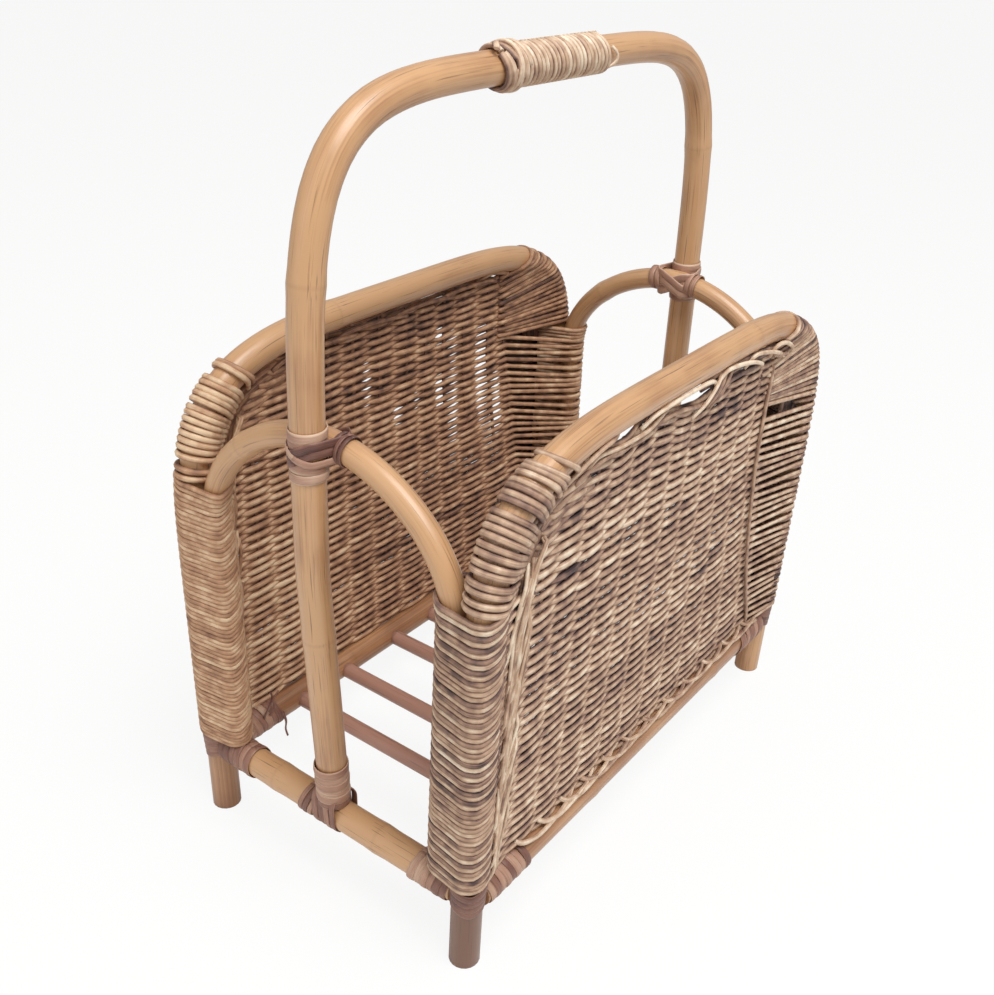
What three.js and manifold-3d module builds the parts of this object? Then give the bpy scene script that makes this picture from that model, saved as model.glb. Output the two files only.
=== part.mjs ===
// Magazine basket: a bent-pole frame with a carrying hoop, two woven side panels and a slatted floor.
// Millimetres. X runs along the basket, Y across it, Z up. The four feet stand on z = 0.

import * as THREE from 'three';
import { mergeVertices } from 'three/addons/utils/BufferGeometryUtils.js';
import Module from 'manifold-3d';

const wasm = await Module();
wasm.setup();

// Driving dimensions

// Poles and rods
const poleDiameter = 19.5;
const archDiameter = 15.6;
const rodDiameter = 11.5;

// Panel hoops, whose legs are the four corner posts
const postSpan = 390.4;
const footSpread = 216;
const topSpread = 226;
const panelShoulderSpan = 392.4;
const panelShoulderHeight = 178;
const panelRise = 152.2;
const panelRoundness = 4.6;

// Rails and floor rods
const endRailHeight = 55;
const sideRailHeight = 50.4;
const sideRailSpread = 219.5;

// Where the floor rods lie, as shares of the way from the middle to a post
const rodPlaceShares = [-0.634, -0.398, -0.114, 0.114, 0.398, 0.634];

// Carrying hoop
const handleShoulderSpan = 412.8;
const handleShoulderHeight = 241;
const handleTopHeight = 495.6;
const handleRoundness = 5.7;

// End arches
const archShoulderDrop = 18;
const archRise = 75.7;
const archRoundness = 1.85;
const saddleDepth = 3.8;

// Woven panels
const weaveThickness = 6.2;
const weaveSwing = 1.6;
const weaveRowPitch = 3.45;
const weaveOffset = 3;

// Strands wound round the frame
const bundleWall = 2.6;
const wrapStrandDiameter = 3.4;
const gripStrandDiameter = 4.2;
const gripLength = 111;
const gripOffset = -5.5;
const gripTurns = 22;

// Flat bindings over the joints
const bindingWall = 1.6;
const lashingWall = 2;
const postBindingDrop = 9;
const endBindingReach = 36;
const sideBindingReach = 50;
const footBindingHeight = 96;
const footBindingWidth = 25;
const lashingHeight = 31;
const lashingWidth = 28;

// Clearances
const clearance = 0.3;
const windingClearance = 0.45;
const cutOverrun = 30;

// Facets
const poleSides = 12;
const strandSides = 5;
const wrapStrandSides = 4;
const arcSteps = 24;
const archSteps = 16;
const turnSteps = 12;
const sleeveSides = 10;
const cornerBiasShare = 0.5;

// Where each group of turns on a panel's corner starts and ends along the wrapped length, and its
// number of turns
const wrapGroupShares = [
  { from: 0, to: 0.15, turns: 3 },
  { from: 0.21, to: 0.53, turns: 6 },
  { from: 0.61, to: 0.76, turns: 3 },
  { from: 0.83, to: 1, turns: 4 },
];
const wrappedLength = 88;

// How far up the rise of a panel's hoop the corner bundles end
const bundleTopShare = 0.54;

// Derived sizes
const poleRadius = poleDiameter / 2;
const archRadius = archDiameter / 2;
const rodRadius = rodDiameter / 2;
const postX = postSpan / 2;
const railY = sideRailSpread / 2;
const bindingRadius = poleRadius + clearance + bindingWall;
const panelTopHeight = panelShoulderHeight + panelRise;
const bundleBottomHeight = endRailHeight + poleRadius + clearance + bindingWall;
const bundleTopHeight = panelShoulderHeight + panelRise * bundleTopShare;
const archShoulderHeight = bundleTopHeight - archShoulderDrop;
const archTopHeight = archShoulderHeight + archRise;

// The y of a panel's plane at a height: the panels lean out a little towards the top
function panelY(height) {
  return THREE.MathUtils.lerp(footSpread, topSpread, height / panelTopHeight) / 2;
}

// Curves

// A pole bent to a hoop: straight legs from the feet to the shoulders, and a superellipse over the
// top. The place function puts a point of the hoop's own plane into the object.
class BentPole extends THREE.Curve {
  constructor(shape, steps, place) {
    super();
    this.shape = shape;
    this.steps = steps;
    this.place = place;
    this.arcLengthDivisions = 800;
  }

  getPoint(t, target = new THREE.Vector3()) {
    const { footHalf, footHeight, shoulderHalf, shoulderHeight, topHeight, roundness } = this.shape;
    const station = t * (this.steps + 2);
    const fromFoot = Math.min(station, this.steps + 2 - station);
    const side = station * 2 < this.steps + 2 ? -1 : 1;
    if (fromFoot < 1) {
      const across = THREE.MathUtils.lerp(footHalf, shoulderHalf, fromFoot);
      const height = THREE.MathUtils.lerp(footHeight, shoulderHeight, fromFoot);
      return target.copy(this.place(side * across, height));
    }
    const even = ((fromFoot - 1) / this.steps) * Math.PI;
    const angle = even + (cornerBiasShare / 4) * Math.sin(4 * even);
    const [flat, steep] = [Math.cos(angle), Math.sin(angle)];
    const reach = (Math.abs(flat) ** roundness + Math.abs(steep) ** roundness) ** (-1 / roundness);
    const across = shoulderHalf * flat * reach;
    const height = THREE.MathUtils.lerp(shoulderHeight, topHeight, steep * reach);
    return target.copy(this.place(side * across, height));
  }

  // Stations stay where the shape needs them, closer together at the rounded corners
  getUtoTmapping(u, distance) {
    return distance === undefined ? u : super.getUtoTmapping(u, distance);
  }

  atDistance(distance) {
    const t = this.getUtoTmapping(0, distance);
    return { point: this.getPoint(t), tangent: this.getTangent(t) };
  }

  distanceAtHeight(height) {
    const lengths = this.getLengths();
    const count = lengths.length - 1;
    const index = lengths.findIndex((_, i) => this.getPoint(i / count).z >= height);
    return lengths[index];
  }
}

// A strand wound round a bent pole. It passes each of the given distances along the pole once per
// turn, and its two ends run straight for one strand diameter.
class Winding extends THREE.Curve {
  constructor(pole, planeNormal, turnPlaces, radius, endLength) {
    super();
    this.pole = pole;
    this.planeNormal = planeNormal;
    this.turnPlaces = turnPlaces;
    this.radius = radius;
    this.endLength = endLength;
    this.turns = turnPlaces.length - 1;
    this.steps = this.turns * turnSteps + 2;
  }

  onHelix(turn) {
    const index = Math.min(Math.floor(turn), this.turns - 1);
    const [from, to] = [this.turnPlaces[index], this.turnPlaces[index + 1]];
    const { point, tangent } = this.pole.atDistance(THREE.MathUtils.lerp(from, to, turn - index));
    const outward = new THREE.Vector3().crossVectors(this.planeNormal, tangent).normalize();
    const angle = turn * 2 * Math.PI;
    return point
      .addScaledVector(outward, this.radius * Math.cos(angle))
      .addScaledVector(this.planeNormal, this.radius * Math.sin(angle));
  }

  onEnd(turn, nearby, share) {
    const end = this.onHelix(turn);
    const direction = end.clone().sub(this.onHelix(nearby)).normalize();
    return end.addScaledVector(direction, this.endLength * share);
  }

  getPoint(t, target = new THREE.Vector3()) {
    const station = t * this.steps;
    const turn = (station - 1) / turnSteps;
    const nearbyShare = 1 / turnSteps / turnSteps;
    if (turn < 0) {
      return target.copy(this.onEnd(0, nearbyShare, 1 - station));
    }
    if (turn > this.turns) {
      const share = (turn - this.turns) * turnSteps;
      return target.copy(this.onEnd(this.turns, this.turns - nearbyShare, share));
    }
    return target.copy(this.onHelix(turn));
  }

  getUtoTmapping(u) {
    return u;
  }

  // The least gap between the strand and itself, measured on its points half a turn or more apart
  leastGap(diameter) {
    const points = this.getPoints(this.steps);
    let least = Infinity;
    points.forEach((a, i) => {
      for (let j = i + turnSteps / 2; j < points.length; j += 1) {
        least = Math.min(least, a.distanceTo(points[j]));
      }
    });
    return least - diameter;
  }
}

// Solids

function ringShape(radius, sides) {
  const points = [];
  for (let i = 0; i < sides; i += 1) {
    const angle = ((i + 0.5) / sides) * 2 * Math.PI;
    points.push(new THREE.Vector2(radius * Math.cos(angle), radius * Math.sin(angle)));
  }
  return new THREE.Shape(points);
}

function tube(path, radius, steps, sides = poleSides) {
  return new THREE.ExtrudeGeometry(ringShape(radius, sides), { steps, extrudePath: path });
}

function straightTube(from, to, radius) {
  return tube(new THREE.LineCurve3(from, to), radius, 1);
}

// A closed solid from a geometry, turned right side out if its faces point inwards
function solid(geometry) {
  const plain = geometry.clone();
  plain.deleteAttribute('normal');
  plain.deleteAttribute('uv');
  const merged = mergeVertices(plain);
  const triangles = Uint32Array.from(merged.index.array);
  const make = () => new wasm.Manifold(new wasm.Mesh({
    numProp: 3,
    vertProperties: Float32Array.from(merged.attributes.position.array),
    triVerts: triangles,
  }));
  const first = make();
  if (first.volume() > 0) {
    return first;
  }
  for (let i = 0; i < triangles.length; i += 3) {
    [triangles[i], triangles[i + 1]] = [triangles[i + 1], triangles[i]];
  }
  return make();
}

function upright(x, y, bottom, top, radius) {
  return solid(straightTube(new THREE.Vector3(x, y, bottom), new THREE.Vector3(x, y, top), radius));
}

function without(body, cutters) {
  return cutters.reduce((left, cutter) => left.subtract(cutter), body);
}

function joined(bodies) {
  return bodies.reduce((whole, body) => whole.add(body));
}

function meshOf(name, material, body) {
  const { vertProperties, triVerts } = body.getMesh();
  const geometry = new THREE.BufferGeometry();
  geometry.setAttribute('position', new THREE.BufferAttribute(vertProperties, 3));
  geometry.setIndex(new THREE.BufferAttribute(triVerts, 1));
  geometry.computeVertexNormals();
  const mesh = new THREE.Mesh(geometry, material());
  mesh.name = name;
  return mesh;
}

// Materials

const poleFinish = () => new THREE.MeshStandardMaterial({ color: '#c2986b', roughness: 0.42 });
const rodFinish = () => new THREE.MeshStandardMaterial({ color: '#a37c62', roughness: 0.5 });
const weaveFinish = () => new THREE.MeshStandardMaterial({ color: '#b09478', roughness: 0.7 });
const strandFinish = () => new THREE.MeshStandardMaterial({ color: '#c4a67f', roughness: 0.6 });
const bindingFinish = () => new THREE.MeshStandardMaterial({ color: '#8a675c', roughness: 0.55 });

// Frame pieces. Each has a function of the radius, so that a neighbour is cut with a thicker copy.

const panelShape = {
  footHalf: postX,
  footHeight: -cutOverrun,
  shoulderHalf: panelShoulderSpan / 2,
  shoulderHeight: panelShoulderHeight,
  topHeight: panelTopHeight,
  roundness: panelRoundness,
};

const handleShape = {
  footHalf: postX,
  footHeight: endRailHeight,
  shoulderHalf: handleShoulderSpan / 2,
  shoulderHeight: handleShoulderHeight,
  topHeight: handleTopHeight,
  roundness: handleRoundness,
};

// An arch's legs stand against the inner sides of the posts
const archSeat = poleRadius + archRadius + clearance;
const archShape = {
  footHalf: panelY(endRailHeight) - archSeat,
  footHeight: endRailHeight,
  shoulderHalf: panelY(archShoulderHeight) - archSeat,
  shoulderHeight: archShoulderHeight,
  topHeight: archTopHeight,
  roundness: archRoundness,
};

const handlePath = new BentPole(handleShape, arcSteps, (across, height) => (
  new THREE.Vector3(across, 0, height)
));

function panelPath(sideY) {
  return new BentPole(panelShape, arcSteps, (across, height) => (
    new THREE.Vector3(across, sideY * panelY(height), height)
  ));
}

// The handle's leg stands a little outside the arch, which is notched to take it
const handleLegX = handlePath.atDistance(handlePath.distanceAtHeight(archTopHeight)).point.x;
const archTopX = Math.abs(handleLegX) - poleRadius - archRadius + saddleDepth;

function archPath(sideX) {
  return new BentPole(archShape, archSteps, (across, height) => {
    const rise = Math.max(0, (height - archShoulderHeight) / (archTopHeight - archShoulderHeight));
    return new THREE.Vector3(sideX * THREE.MathUtils.lerp(postX, archTopX, rise), across, height);
  });
}

const handleSolid = (radius) => solid(tube(handlePath, radius, arcSteps + 2));
const panelHoopSolid = (sideY, radius) => solid(tube(panelPath(sideY), radius, arcSteps + 2));
const archSolid = (sideX, radius) => solid(tube(archPath(sideX), radius, archSteps + 2));

function endRailSolid(sideX, radius, halfLength) {
  const x = sideX * postX;
  return solid(straightTube(
    new THREE.Vector3(x, -halfLength, endRailHeight),
    new THREE.Vector3(x, halfLength, endRailHeight),
    radius,
  ));
}

function sideRailSolid(sideY, radius, halfLength) {
  const y = sideY * railY;
  return solid(straightTube(
    new THREE.Vector3(-halfLength, y, sideRailHeight),
    new THREE.Vector3(halfLength, y, sideRailHeight),
    radius,
  ));
}

const loose = (radius) => radius + clearance;
const railEndShort = poleRadius / 2;
const endRailHalf = panelY(endRailHeight) - railEndShort;
const sideRailHalf = postX - railEndShort;

// Everything below the floor, which cuts the feet flat
function floorBlock() {
  const block = new THREE.BoxGeometry(postSpan * 2, topSpread * 2, cutOverrun * 2);
  block.translate(0, 0, -cutOverrun);
  return solid(block);
}

function addFrame(group) {
  const floor = floorBlock();
  const endRails = [-1, 1].map((sideX) => endRailSolid(sideX, loose(poleRadius), endRailHalf));
  const sideRails = [-1, 1].map((sideY) => sideRailSolid(sideY, loose(poleRadius), sideRailHalf));
  const hoops = [-1, 1].map((sideY) => panelHoopSolid(sideY, loose(poleRadius)));
  const looseHandle = handleSolid(loose(poleRadius));

  group.add(meshOf('handle_hoop', poleFinish, without(handleSolid(poleRadius), endRails)));

  [['front', -1], ['back', 1]].forEach(([side, sideY]) => {
    const hoop = without(panelHoopSolid(sideY, poleRadius), [floor]);
    group.add(meshOf(`panel_hoop_${side}`, poleFinish, hoop));
    const rail = without(sideRailSolid(sideY, poleRadius, sideRailHalf), [...hoops, ...endRails]);
    group.add(meshOf(`side_rail_${side}`, poleFinish, rail));
  });

  [['left', -1], ['right', 1]].forEach(([side, sideX], index) => {
    const rail = without(endRailSolid(sideX, poleRadius, endRailHalf), hoops);
    group.add(meshOf(`end_rail_${side}`, poleFinish, rail));
    const arch = without(archSolid(sideX, archRadius), [endRails[index], looseHandle]);
    group.add(meshOf(`end_arch_${side}`, poleFinish, arch));
  });

  rodPlaceShares.forEach((placeShare, index) => {
    const x = postX * placeShare;
    const rod = solid(straightTube(
      new THREE.Vector3(x, -railY, sideRailHeight),
      new THREE.Vector3(x, railY, sideRailHeight),
      rodRadius,
    ));
    group.add(meshOf(`floor_rod_${index + 1}`, rodFinish, without(rod, sideRails)));
  });
}

// Sleeves

// A closed skin over rings, joined round each ring and to the next. The first and last are points.
function ringSkin(rings) {
  const sides = rings[0].length;
  const positions = rings.flat().flatMap((point) => point.toArray());
  const indices = [];
  for (let i = 0; i < rings.length - 1; i += 1) {
    for (let k = 0; k < sides; k += 1) {
      const after = (k + 1) % sides;
      const [a, b] = [i * sides + k, i * sides + after];
      const [c, d] = [b + sides, a + sides];
      indices.push(a, b, c, a, c, d);
    }
  }
  const geometry = new THREE.BufferGeometry();
  geometry.setAttribute('position', new THREE.Float32BufferAttribute(positions, 3));
  geometry.setIndex(indices);
  return geometry;
}

// The two upright poles that a corner bundle holds, cut at a height: the post and the arch's leg
function bundleCircles(sideX, sideY, height, panel, arch) {
  return [[panel, poleRadius], [arch, archRadius]].map(([path, radius]) => {
    const { point, tangent } = path.atDistance(path.distanceAtHeight(height));
    return {
      x: sideX * Math.abs(point.x),
      y: sideY * Math.abs(point.y),
      radius: radius / Math.abs(tangent.z),
    };
  });
}

// The outline that a strand takes when it is pulled tight round the circles
function tightRing(circles, extra, height) {
  const ring = [];
  for (let k = 0; k < sleeveSides; k += 1) {
    const angle = (k / sleeveSides) * 2 * Math.PI;
    const [ux, uy] = [Math.cos(angle), Math.sin(angle)];
    const reach = ({ x, y, radius }) => x * ux + y * uy + radius;
    const outer = circles.reduce((best, circle) => (reach(circle) > reach(best) ? circle : best));
    const distance = (outer.radius + extra) / Math.cos(Math.PI / sleeveSides);
    ring.push(new THREE.Vector3(outer.x + distance * ux, outer.y + distance * uy, height));
  }
  return ring;
}

const bundleHeightShares = [0, 0.6, 0.85, 1];

// The whole space inside a tight skin round both poles of a corner, as a solid
function bundleBlock(sideX, sideY, extra) {
  const [panel, arch] = [panelPath(sideY), archPath(sideX)];
  const rings = bundleHeightShares.map((share) => {
    const height = THREE.MathUtils.lerp(bundleBottomHeight, bundleTopHeight, share);
    return tightRing(bundleCircles(sideX, sideY, height, panel, arch), extra, height);
  });
  const centre = (ring) => (
    ring.reduce((sum, point) => sum.add(point), new THREE.Vector3()).divideScalar(ring.length)
  );
  const flat = (ring) => ring.map(() => centre(ring));
  return solid(ringSkin([flat(rings[0]), ...rings, flat(rings.at(-1))]));
}

function bundleSleeve(sideX, sideY) {
  return without(bundleBlock(sideX, sideY, clearance + bundleWall), [
    panelHoopSolid(sideY, loose(poleRadius)),
    archSolid(sideX, loose(archRadius)),
  ]);
}

const corners = [
  ['front_left', -1, -1],
  ['front_right', 1, -1],
  ['back_left', -1, 1],
  ['back_right', 1, 1],
];

// Windings

const chordFactor = 1 / Math.cos(Math.PI / turnSteps);
const wrapStrandRadius = wrapStrandDiameter / 2;
const wrapRadius = (poleRadius + wrapStrandRadius + windingClearance) * chordFactor;
const wrapStartGap = clearance + wrapStrandDiameter;

// Distances along the pole that the strand passes once per turn, close together in each group
function wrapPlaces(start) {
  const places = [];
  wrapGroupShares.forEach(({ from, to, turns }) => {
    for (let i = 0; i < turns; i += 1) {
      const share = THREE.MathUtils.lerp(from, to, i / (turns - 1));
      places.push(start + wrapStartGap + wrappedLength * share);
    }
  });
  return places;
}

function cornerWrapPath(sideX, sideY) {
  const path = panelPath(sideY);
  const start = path.distanceAtHeight(bundleTopHeight);
  const places = wrapPlaces(start);
  const length = path.getLength();
  const fromSide = sideX < 0 ? places : places.map((place) => length - place);
  return new Winding(path, new THREE.Vector3(0, 1, 0), fromSide, wrapRadius, wrapStrandDiameter);
}

function gripPath() {
  const middle = handlePath.getLength() / 2 + gripOffset;
  const places = [];
  for (let i = 0; i <= gripTurns; i += 1) {
    places.push(middle + gripLength * (i / gripTurns - 0.5));
  }
  const radius = (poleRadius + gripStrandDiameter / 2 + windingClearance) * chordFactor;
  return new Winding(handlePath, new THREE.Vector3(0, 1, 0), places, radius, gripStrandDiameter);
}

function addWound(group, name, winding, diameter, sides) {
  const body = solid(tube(winding, diameter / 2, winding.steps, sides));
  group.add(meshOf(name, strandFinish, body));
  const gap = winding.leastGap(diameter).toFixed(2);
  console.log(`${name}: least gap ${gap} mm over ${winding.turns} turns`);
}

function addWraps(group) {
  addWound(group, 'grip_wrap', gripPath(), gripStrandDiameter, strandSides);
  corners.forEach(([corner, sideX, sideY]) => {
    group.add(meshOf(`bundle_wrap_${corner}`, strandFinish, bundleSleeve(sideX, sideY)));
    const winding = cornerWrapPath(sideX, sideY);
    addWound(group, `pole_wrap_${corner}`, winding, wrapStrandDiameter, wrapStrandSides);
  });
}

// Woven panels

// A panel's sheet. Its rows of strands lie outside and inside the middle in turn, which leaves a
// ridge for each outer row on both faces.
function wovenSheet(height) {
  const rows = Math.round(height / weaveRowPitch);
  const outside = [];
  const inside = [];
  for (let j = 0; j <= rows; j += 1) {
    const z = height * (j / rows);
    const swing = weaveSwing * (j % 2 === 0 ? 1 : -1);
    outside.push(new THREE.Vector2(swing - weaveThickness / 2, z));
    inside.push(new THREE.Vector2(swing + weaveThickness / 2, z));
  }
  const section = new THREE.Shape([...outside, ...inside.reverse()]);
  const sheet = new THREE.ExtrudeGeometry(section, {
    depth: panelShoulderSpan,
    bevelEnabled: false,
  });
  sheet.translate(0, 0, -panelShoulderSpan / 2);
  const [acrossX, acrossY, acrossZ] = [0, 1, 2].map((axis) => (
    new THREE.Vector3().setComponent(axis, 1)
  ));
  return sheet.applyMatrix4(new THREE.Matrix4().makeBasis(acrossY, acrossZ, acrossX));
}

// A panel's outline inside its hoop, as a block through the whole basket on that side
function panelOutline(path) {
  const points = [];
  for (let i = 1; i <= arcSteps + 1; i += 1) {
    const point = path.getPoint(i / (arcSteps + 2));
    points.push(new THREE.Vector2(point.x, point.z));
  }
  points.push(new THREE.Vector2(sideRailHalf, sideRailHeight));
  points.push(new THREE.Vector2(-sideRailHalf, sideRailHeight));
  const shape = new THREE.Shape(points);
  const block = new THREE.ExtrudeGeometry(shape, { depth: topSpread, bevelEnabled: false });
  block.rotateX(Math.PI / 2);
  block.translate(0, topSpread / 2, 0);
  return block;
}

function wrapClearance(sideX, sideY) {
  const path = panelPath(sideY);
  const reach = Math.hypot(wrapRadius, wrapStrandDiameter) + wrapStrandRadius;
  const radius = loose(reach) / Math.cos(Math.PI / poleSides);
  const start = path.distanceAtHeight(bundleTopHeight) - clearance;
  const end = start + wrapStartGap + wrappedLength + wrapStrandDiameter;
  const stations = 12;
  const points = [];
  for (let i = 0; i <= stations; i += 1) {
    const point = path.atDistance(THREE.MathUtils.lerp(start, end, i / stations)).point;
    points.push(new THREE.Vector3(sideX * Math.abs(point.x), point.y, point.z));
  }
  return solid(tube(new THREE.CatmullRomCurve3(points), radius, stations));
}

function weaveSolid(sideY) {
  const height = panelTopHeight + poleRadius;
  const sheet = wovenSheet(height);
  const lean = (sideY * (panelY(height) - panelY(0))) / height;
  sheet.applyMatrix4(new THREE.Matrix4().makeShear(0, 0, 0, 0, 0, lean));
  sheet.translate(0, sideY * (panelY(0) + weaveOffset), 0);
  const outline = panelOutline(panelPath(sideY));
  outline.translate(0, sideY * panelY(panelTopHeight), 0);
  const cutters = [
    panelHoopSolid(sideY, loose(poleRadius)),
    sideRailSolid(sideY, loose(poleRadius), sideRailHalf),
    ...[-1, 1].flatMap((sideX) => [
      bundleBlock(sideX, sideY, loose(bundleWall + clearance)),
      wrapClearance(sideX, sideY),
      cornerBlock(sideX, sideY, loose(bindingRadius)),
    ]),
  ];
  return without(solid(sheet).intersect(solid(outline)), cutters);
}

function addWeave(group) {
  group.add(meshOf('weave_front', weaveFinish, weaveSolid(-1)));
  group.add(meshOf('weave_back', weaveFinish, weaveSolid(1)));
}

// Bindings

// The post and the first stretch of both rails at a corner, as thick as the strips over them
function cornerBlock(sideX, sideY, radius) {
  const [x, y] = [sideX * postX, sideY * panelY(endRailHeight)];
  const bottom = sideRailHeight - poleRadius - postBindingDrop;
  const alongEnd = straightTube(
    new THREE.Vector3(x, y, endRailHeight),
    new THREE.Vector3(x, y - sideY * endBindingReach, endRailHeight),
    radius,
  );
  const alongSide = straightTube(
    new THREE.Vector3(x, sideY * railY, sideRailHeight),
    new THREE.Vector3(x - sideX * sideBindingReach, sideY * railY, sideRailHeight),
    radius,
  );
  const post = upright(x, y, bottom, bundleBottomHeight - clearance, radius);
  return joined([post, solid(alongEnd), solid(alongSide)]);
}

// Strips over a corner: a shell that leaves the poles free, and stops under the bundle's strands
function cornerBinding(sideX, sideY) {
  const roof = new THREE.BoxGeometry(postSpan * 2, topSpread * 2, cutOverrun);
  roof.translate(0, 0, bundleBottomHeight - clearance + cutOverrun / 2);
  return without(cornerBlock(sideX, sideY, bindingRadius), [
    solid(roof),
    panelHoopSolid(sideY, loose(poleRadius)),
    endRailSolid(sideX, loose(poleRadius), panelY(endRailHeight)),
    sideRailSolid(sideY, loose(poleRadius), postX),
    archSolid(sideX, loose(archRadius)),
  ]);
}

// Strips over the foot of the handle and round the rail under it
function footBinding(sideX) {
  const { point } = handlePath.atDistance(handlePath.distanceAtHeight(footBindingHeight));
  const leg = solid(straightTube(
    new THREE.Vector3(sideX * postX, 0, endRailHeight),
    new THREE.Vector3(sideX * Math.abs(point.x), 0, footBindingHeight),
    bindingRadius,
  ));
  const rail = endRailSolid(sideX, bindingRadius, footBindingWidth / 2);
  return without(joined([leg, rail]), [
    handleSolid(loose(poleRadius)),
    endRailSolid(sideX, loose(poleRadius), endRailHalf),
  ]);
}

// Strips that lash the arch's top to the handle's leg
function lashing(sideX) {
  const legX = sideX * Math.abs(handleLegX);
  const leg = upright(
    legX,
    0,
    archTopHeight - lashingHeight / 2,
    archTopHeight + lashingHeight / 2,
    loose(poleRadius) + lashingWall,
  );
  const slab = new THREE.BoxGeometry(handleShoulderSpan, lashingWidth, archTopHeight);
  slab.translate(0, 0, archTopHeight);
  const arch = archSolid(sideX, loose(archRadius) + lashingWall).intersect(solid(slab));
  return without(joined([leg, arch]), [
    handleSolid(loose(poleRadius)),
    archSolid(sideX, loose(archRadius)),
  ]);
}

function addBindings(group) {
  corners.forEach(([corner, sideX, sideY]) => {
    group.add(meshOf(`corner_binding_${corner}`, bindingFinish, cornerBinding(sideX, sideY)));
  });
  [['left', -1], ['right', 1]].forEach(([side, sideX]) => {
    group.add(meshOf(`foot_binding_${side}`, bindingFinish, footBinding(sideX)));
    group.add(meshOf(`lashing_${side}`, bindingFinish, lashing(sideX)));
  });
}

const basket = new THREE.Group();
addFrame(basket);
addWeave(basket);
addWraps(basket);
addBindings(basket);

export default basket;
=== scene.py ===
# A magazine basket of rattan poles with woven sides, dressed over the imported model.
# Shapes are worked out in millimetres and come to metres when a piece is finished.
import math
import random

import bmesh
import bpy
from mathutils import Matrix, Vector, noise


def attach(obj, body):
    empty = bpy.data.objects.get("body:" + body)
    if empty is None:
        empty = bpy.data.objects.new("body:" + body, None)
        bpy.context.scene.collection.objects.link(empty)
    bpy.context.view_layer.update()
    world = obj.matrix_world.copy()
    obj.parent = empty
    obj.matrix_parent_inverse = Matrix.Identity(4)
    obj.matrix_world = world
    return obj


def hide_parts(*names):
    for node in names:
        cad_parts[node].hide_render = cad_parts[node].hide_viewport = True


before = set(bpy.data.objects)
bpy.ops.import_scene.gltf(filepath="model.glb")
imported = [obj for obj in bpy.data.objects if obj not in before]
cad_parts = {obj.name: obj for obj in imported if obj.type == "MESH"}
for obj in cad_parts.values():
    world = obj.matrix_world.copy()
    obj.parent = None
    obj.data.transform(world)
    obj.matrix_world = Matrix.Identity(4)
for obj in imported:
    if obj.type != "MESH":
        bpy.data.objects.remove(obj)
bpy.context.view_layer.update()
scene = bpy.context.scene
scene.view_settings.view_transform = "Standard"
mm = 0.001
print("frame loaded")

# Camera, solved from the feet, the hoops and the handle in the photograph
camera = {
    "place": (-0.5907, -0.4008, 0.5884),
    "right": (0.60089, -0.79827, 0.04112),
    "up": (0.35791, 0.31469, 0.87912),
    "back": (-0.71472, -0.51354, 0.47480),
    "focalPixels": 1150.6,
    "photoWidth": 994,
    "sensor": 36.0,
}


def placeCamera():
    lens = bpy.data.cameras.new("photoCamera")
    lens.sensor_fit = "HORIZONTAL"
    lens.sensor_width = camera["sensor"]
    lens.lens = camera["focalPixels"] * camera["sensor"] / camera["photoWidth"]
    lens.clip_start = 0.01
    lens.clip_end = 60
    eye = bpy.data.objects.new("photoCamera", lens)
    turn = Matrix((camera["right"], camera["up"], camera["back"])).transposed()
    eye.matrix_world = Matrix.Translation(camera["place"]) @ turn.to_4x4()
    scene.collection.objects.link(eye)
    scene.camera = eye


placeCamera()
print("camera placed")

alongX, alongY, upright = Vector((1, 0, 0)), Vector((0, 1, 0)), Vector((0, 0, 1))


# Small helpers
def lerp(a, b, share):
    return a + (b - a) * share


def along(points, place):
    # the value at a place in a list of (place, value) pairs, straight between them
    for (fromPlace, fromValue), (toPlace, toValue) in zip(points, points[1:]):
        if place <= toPlace:
            share = max(0, (place - fromPlace) / (toPlace - fromPlace))
            return lerp(fromValue, toValue, share)
    return points[-1][1]


def sway(place, seed, size=1.0):
    # a slow wander between about -size and size
    return size * noise.noise(Vector((place, seed * 7.31, seed * 1.7)))


def tint(code):
    # an sRGB hex code as a linear colour
    parts = [int(code[i:i + 2], 16) / 255 for i in (1, 3, 5)]
    return [p / 12.92 if p <= 0.04045 else ((p + 0.055) / 1.055) ** 2.4 for p in parts] + [1]


def addNode(tree, kind, inputs=None, stops=None, output=0, **settings):
    # a shader node with its values set and its links made, given back as one of its outputs
    node = tree.nodes.new("ShaderNode" + kind)
    for name, value in settings.items():
        setattr(node, name, value)
    for key, value in (inputs or {}).items():
        if isinstance(value, bpy.types.NodeSocket):
            tree.links.new(value, node.inputs[key])
        else:
            node.inputs[key].default_value = value
    if stops:
        ends = node.color_ramp.elements
        ends[0].position, ends[0].color = stops[0][0], tint(stops[0][1])
        ends[1].position, ends[1].color = stops[-1][0], tint(stops[-1][1])
        for place, code in stops[1:-1]:
            ends.new(place).color = tint(code)
    return node.outputs[output] if len(node.outputs) else None


def addMath(tree, operation, *values):
    return addNode(tree, "Math", dict(enumerate(values)), operation=operation)


def addRange(tree, value, fromRange, toRange=(0.0, 1.0)):
    return addNode(tree, "MapRange", {"Value": value, "From Min": fromRange[0],
                                      "From Max": fromRange[1], "To Min": toRange[0],
                                      "To Max": toRange[1]})


def addGrain(tree, lay, size, detail, roughness=0.5):
    # noise drawn out along a strand, by the length and width of its features
    drawnOut = addNode(tree, "VectorMath", {0: lay, 1: (1 / size[0], 1 / size[1], 1 / size[1])},
                       operation="MULTIPLY")
    return addNode(tree, "TexNoise", {"Vector": drawnOut, "Scale": 1.0, "Detail": detail,
                                      "Roughness": roughness})


def addOver(tree, mask, under, code):
    # a colour laid over another where the mask says
    return addNode(tree, "Mix", {"Factor": mask, 6: under, 7: tint(code)}, output=2,
                   data_type="RGBA")


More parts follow.
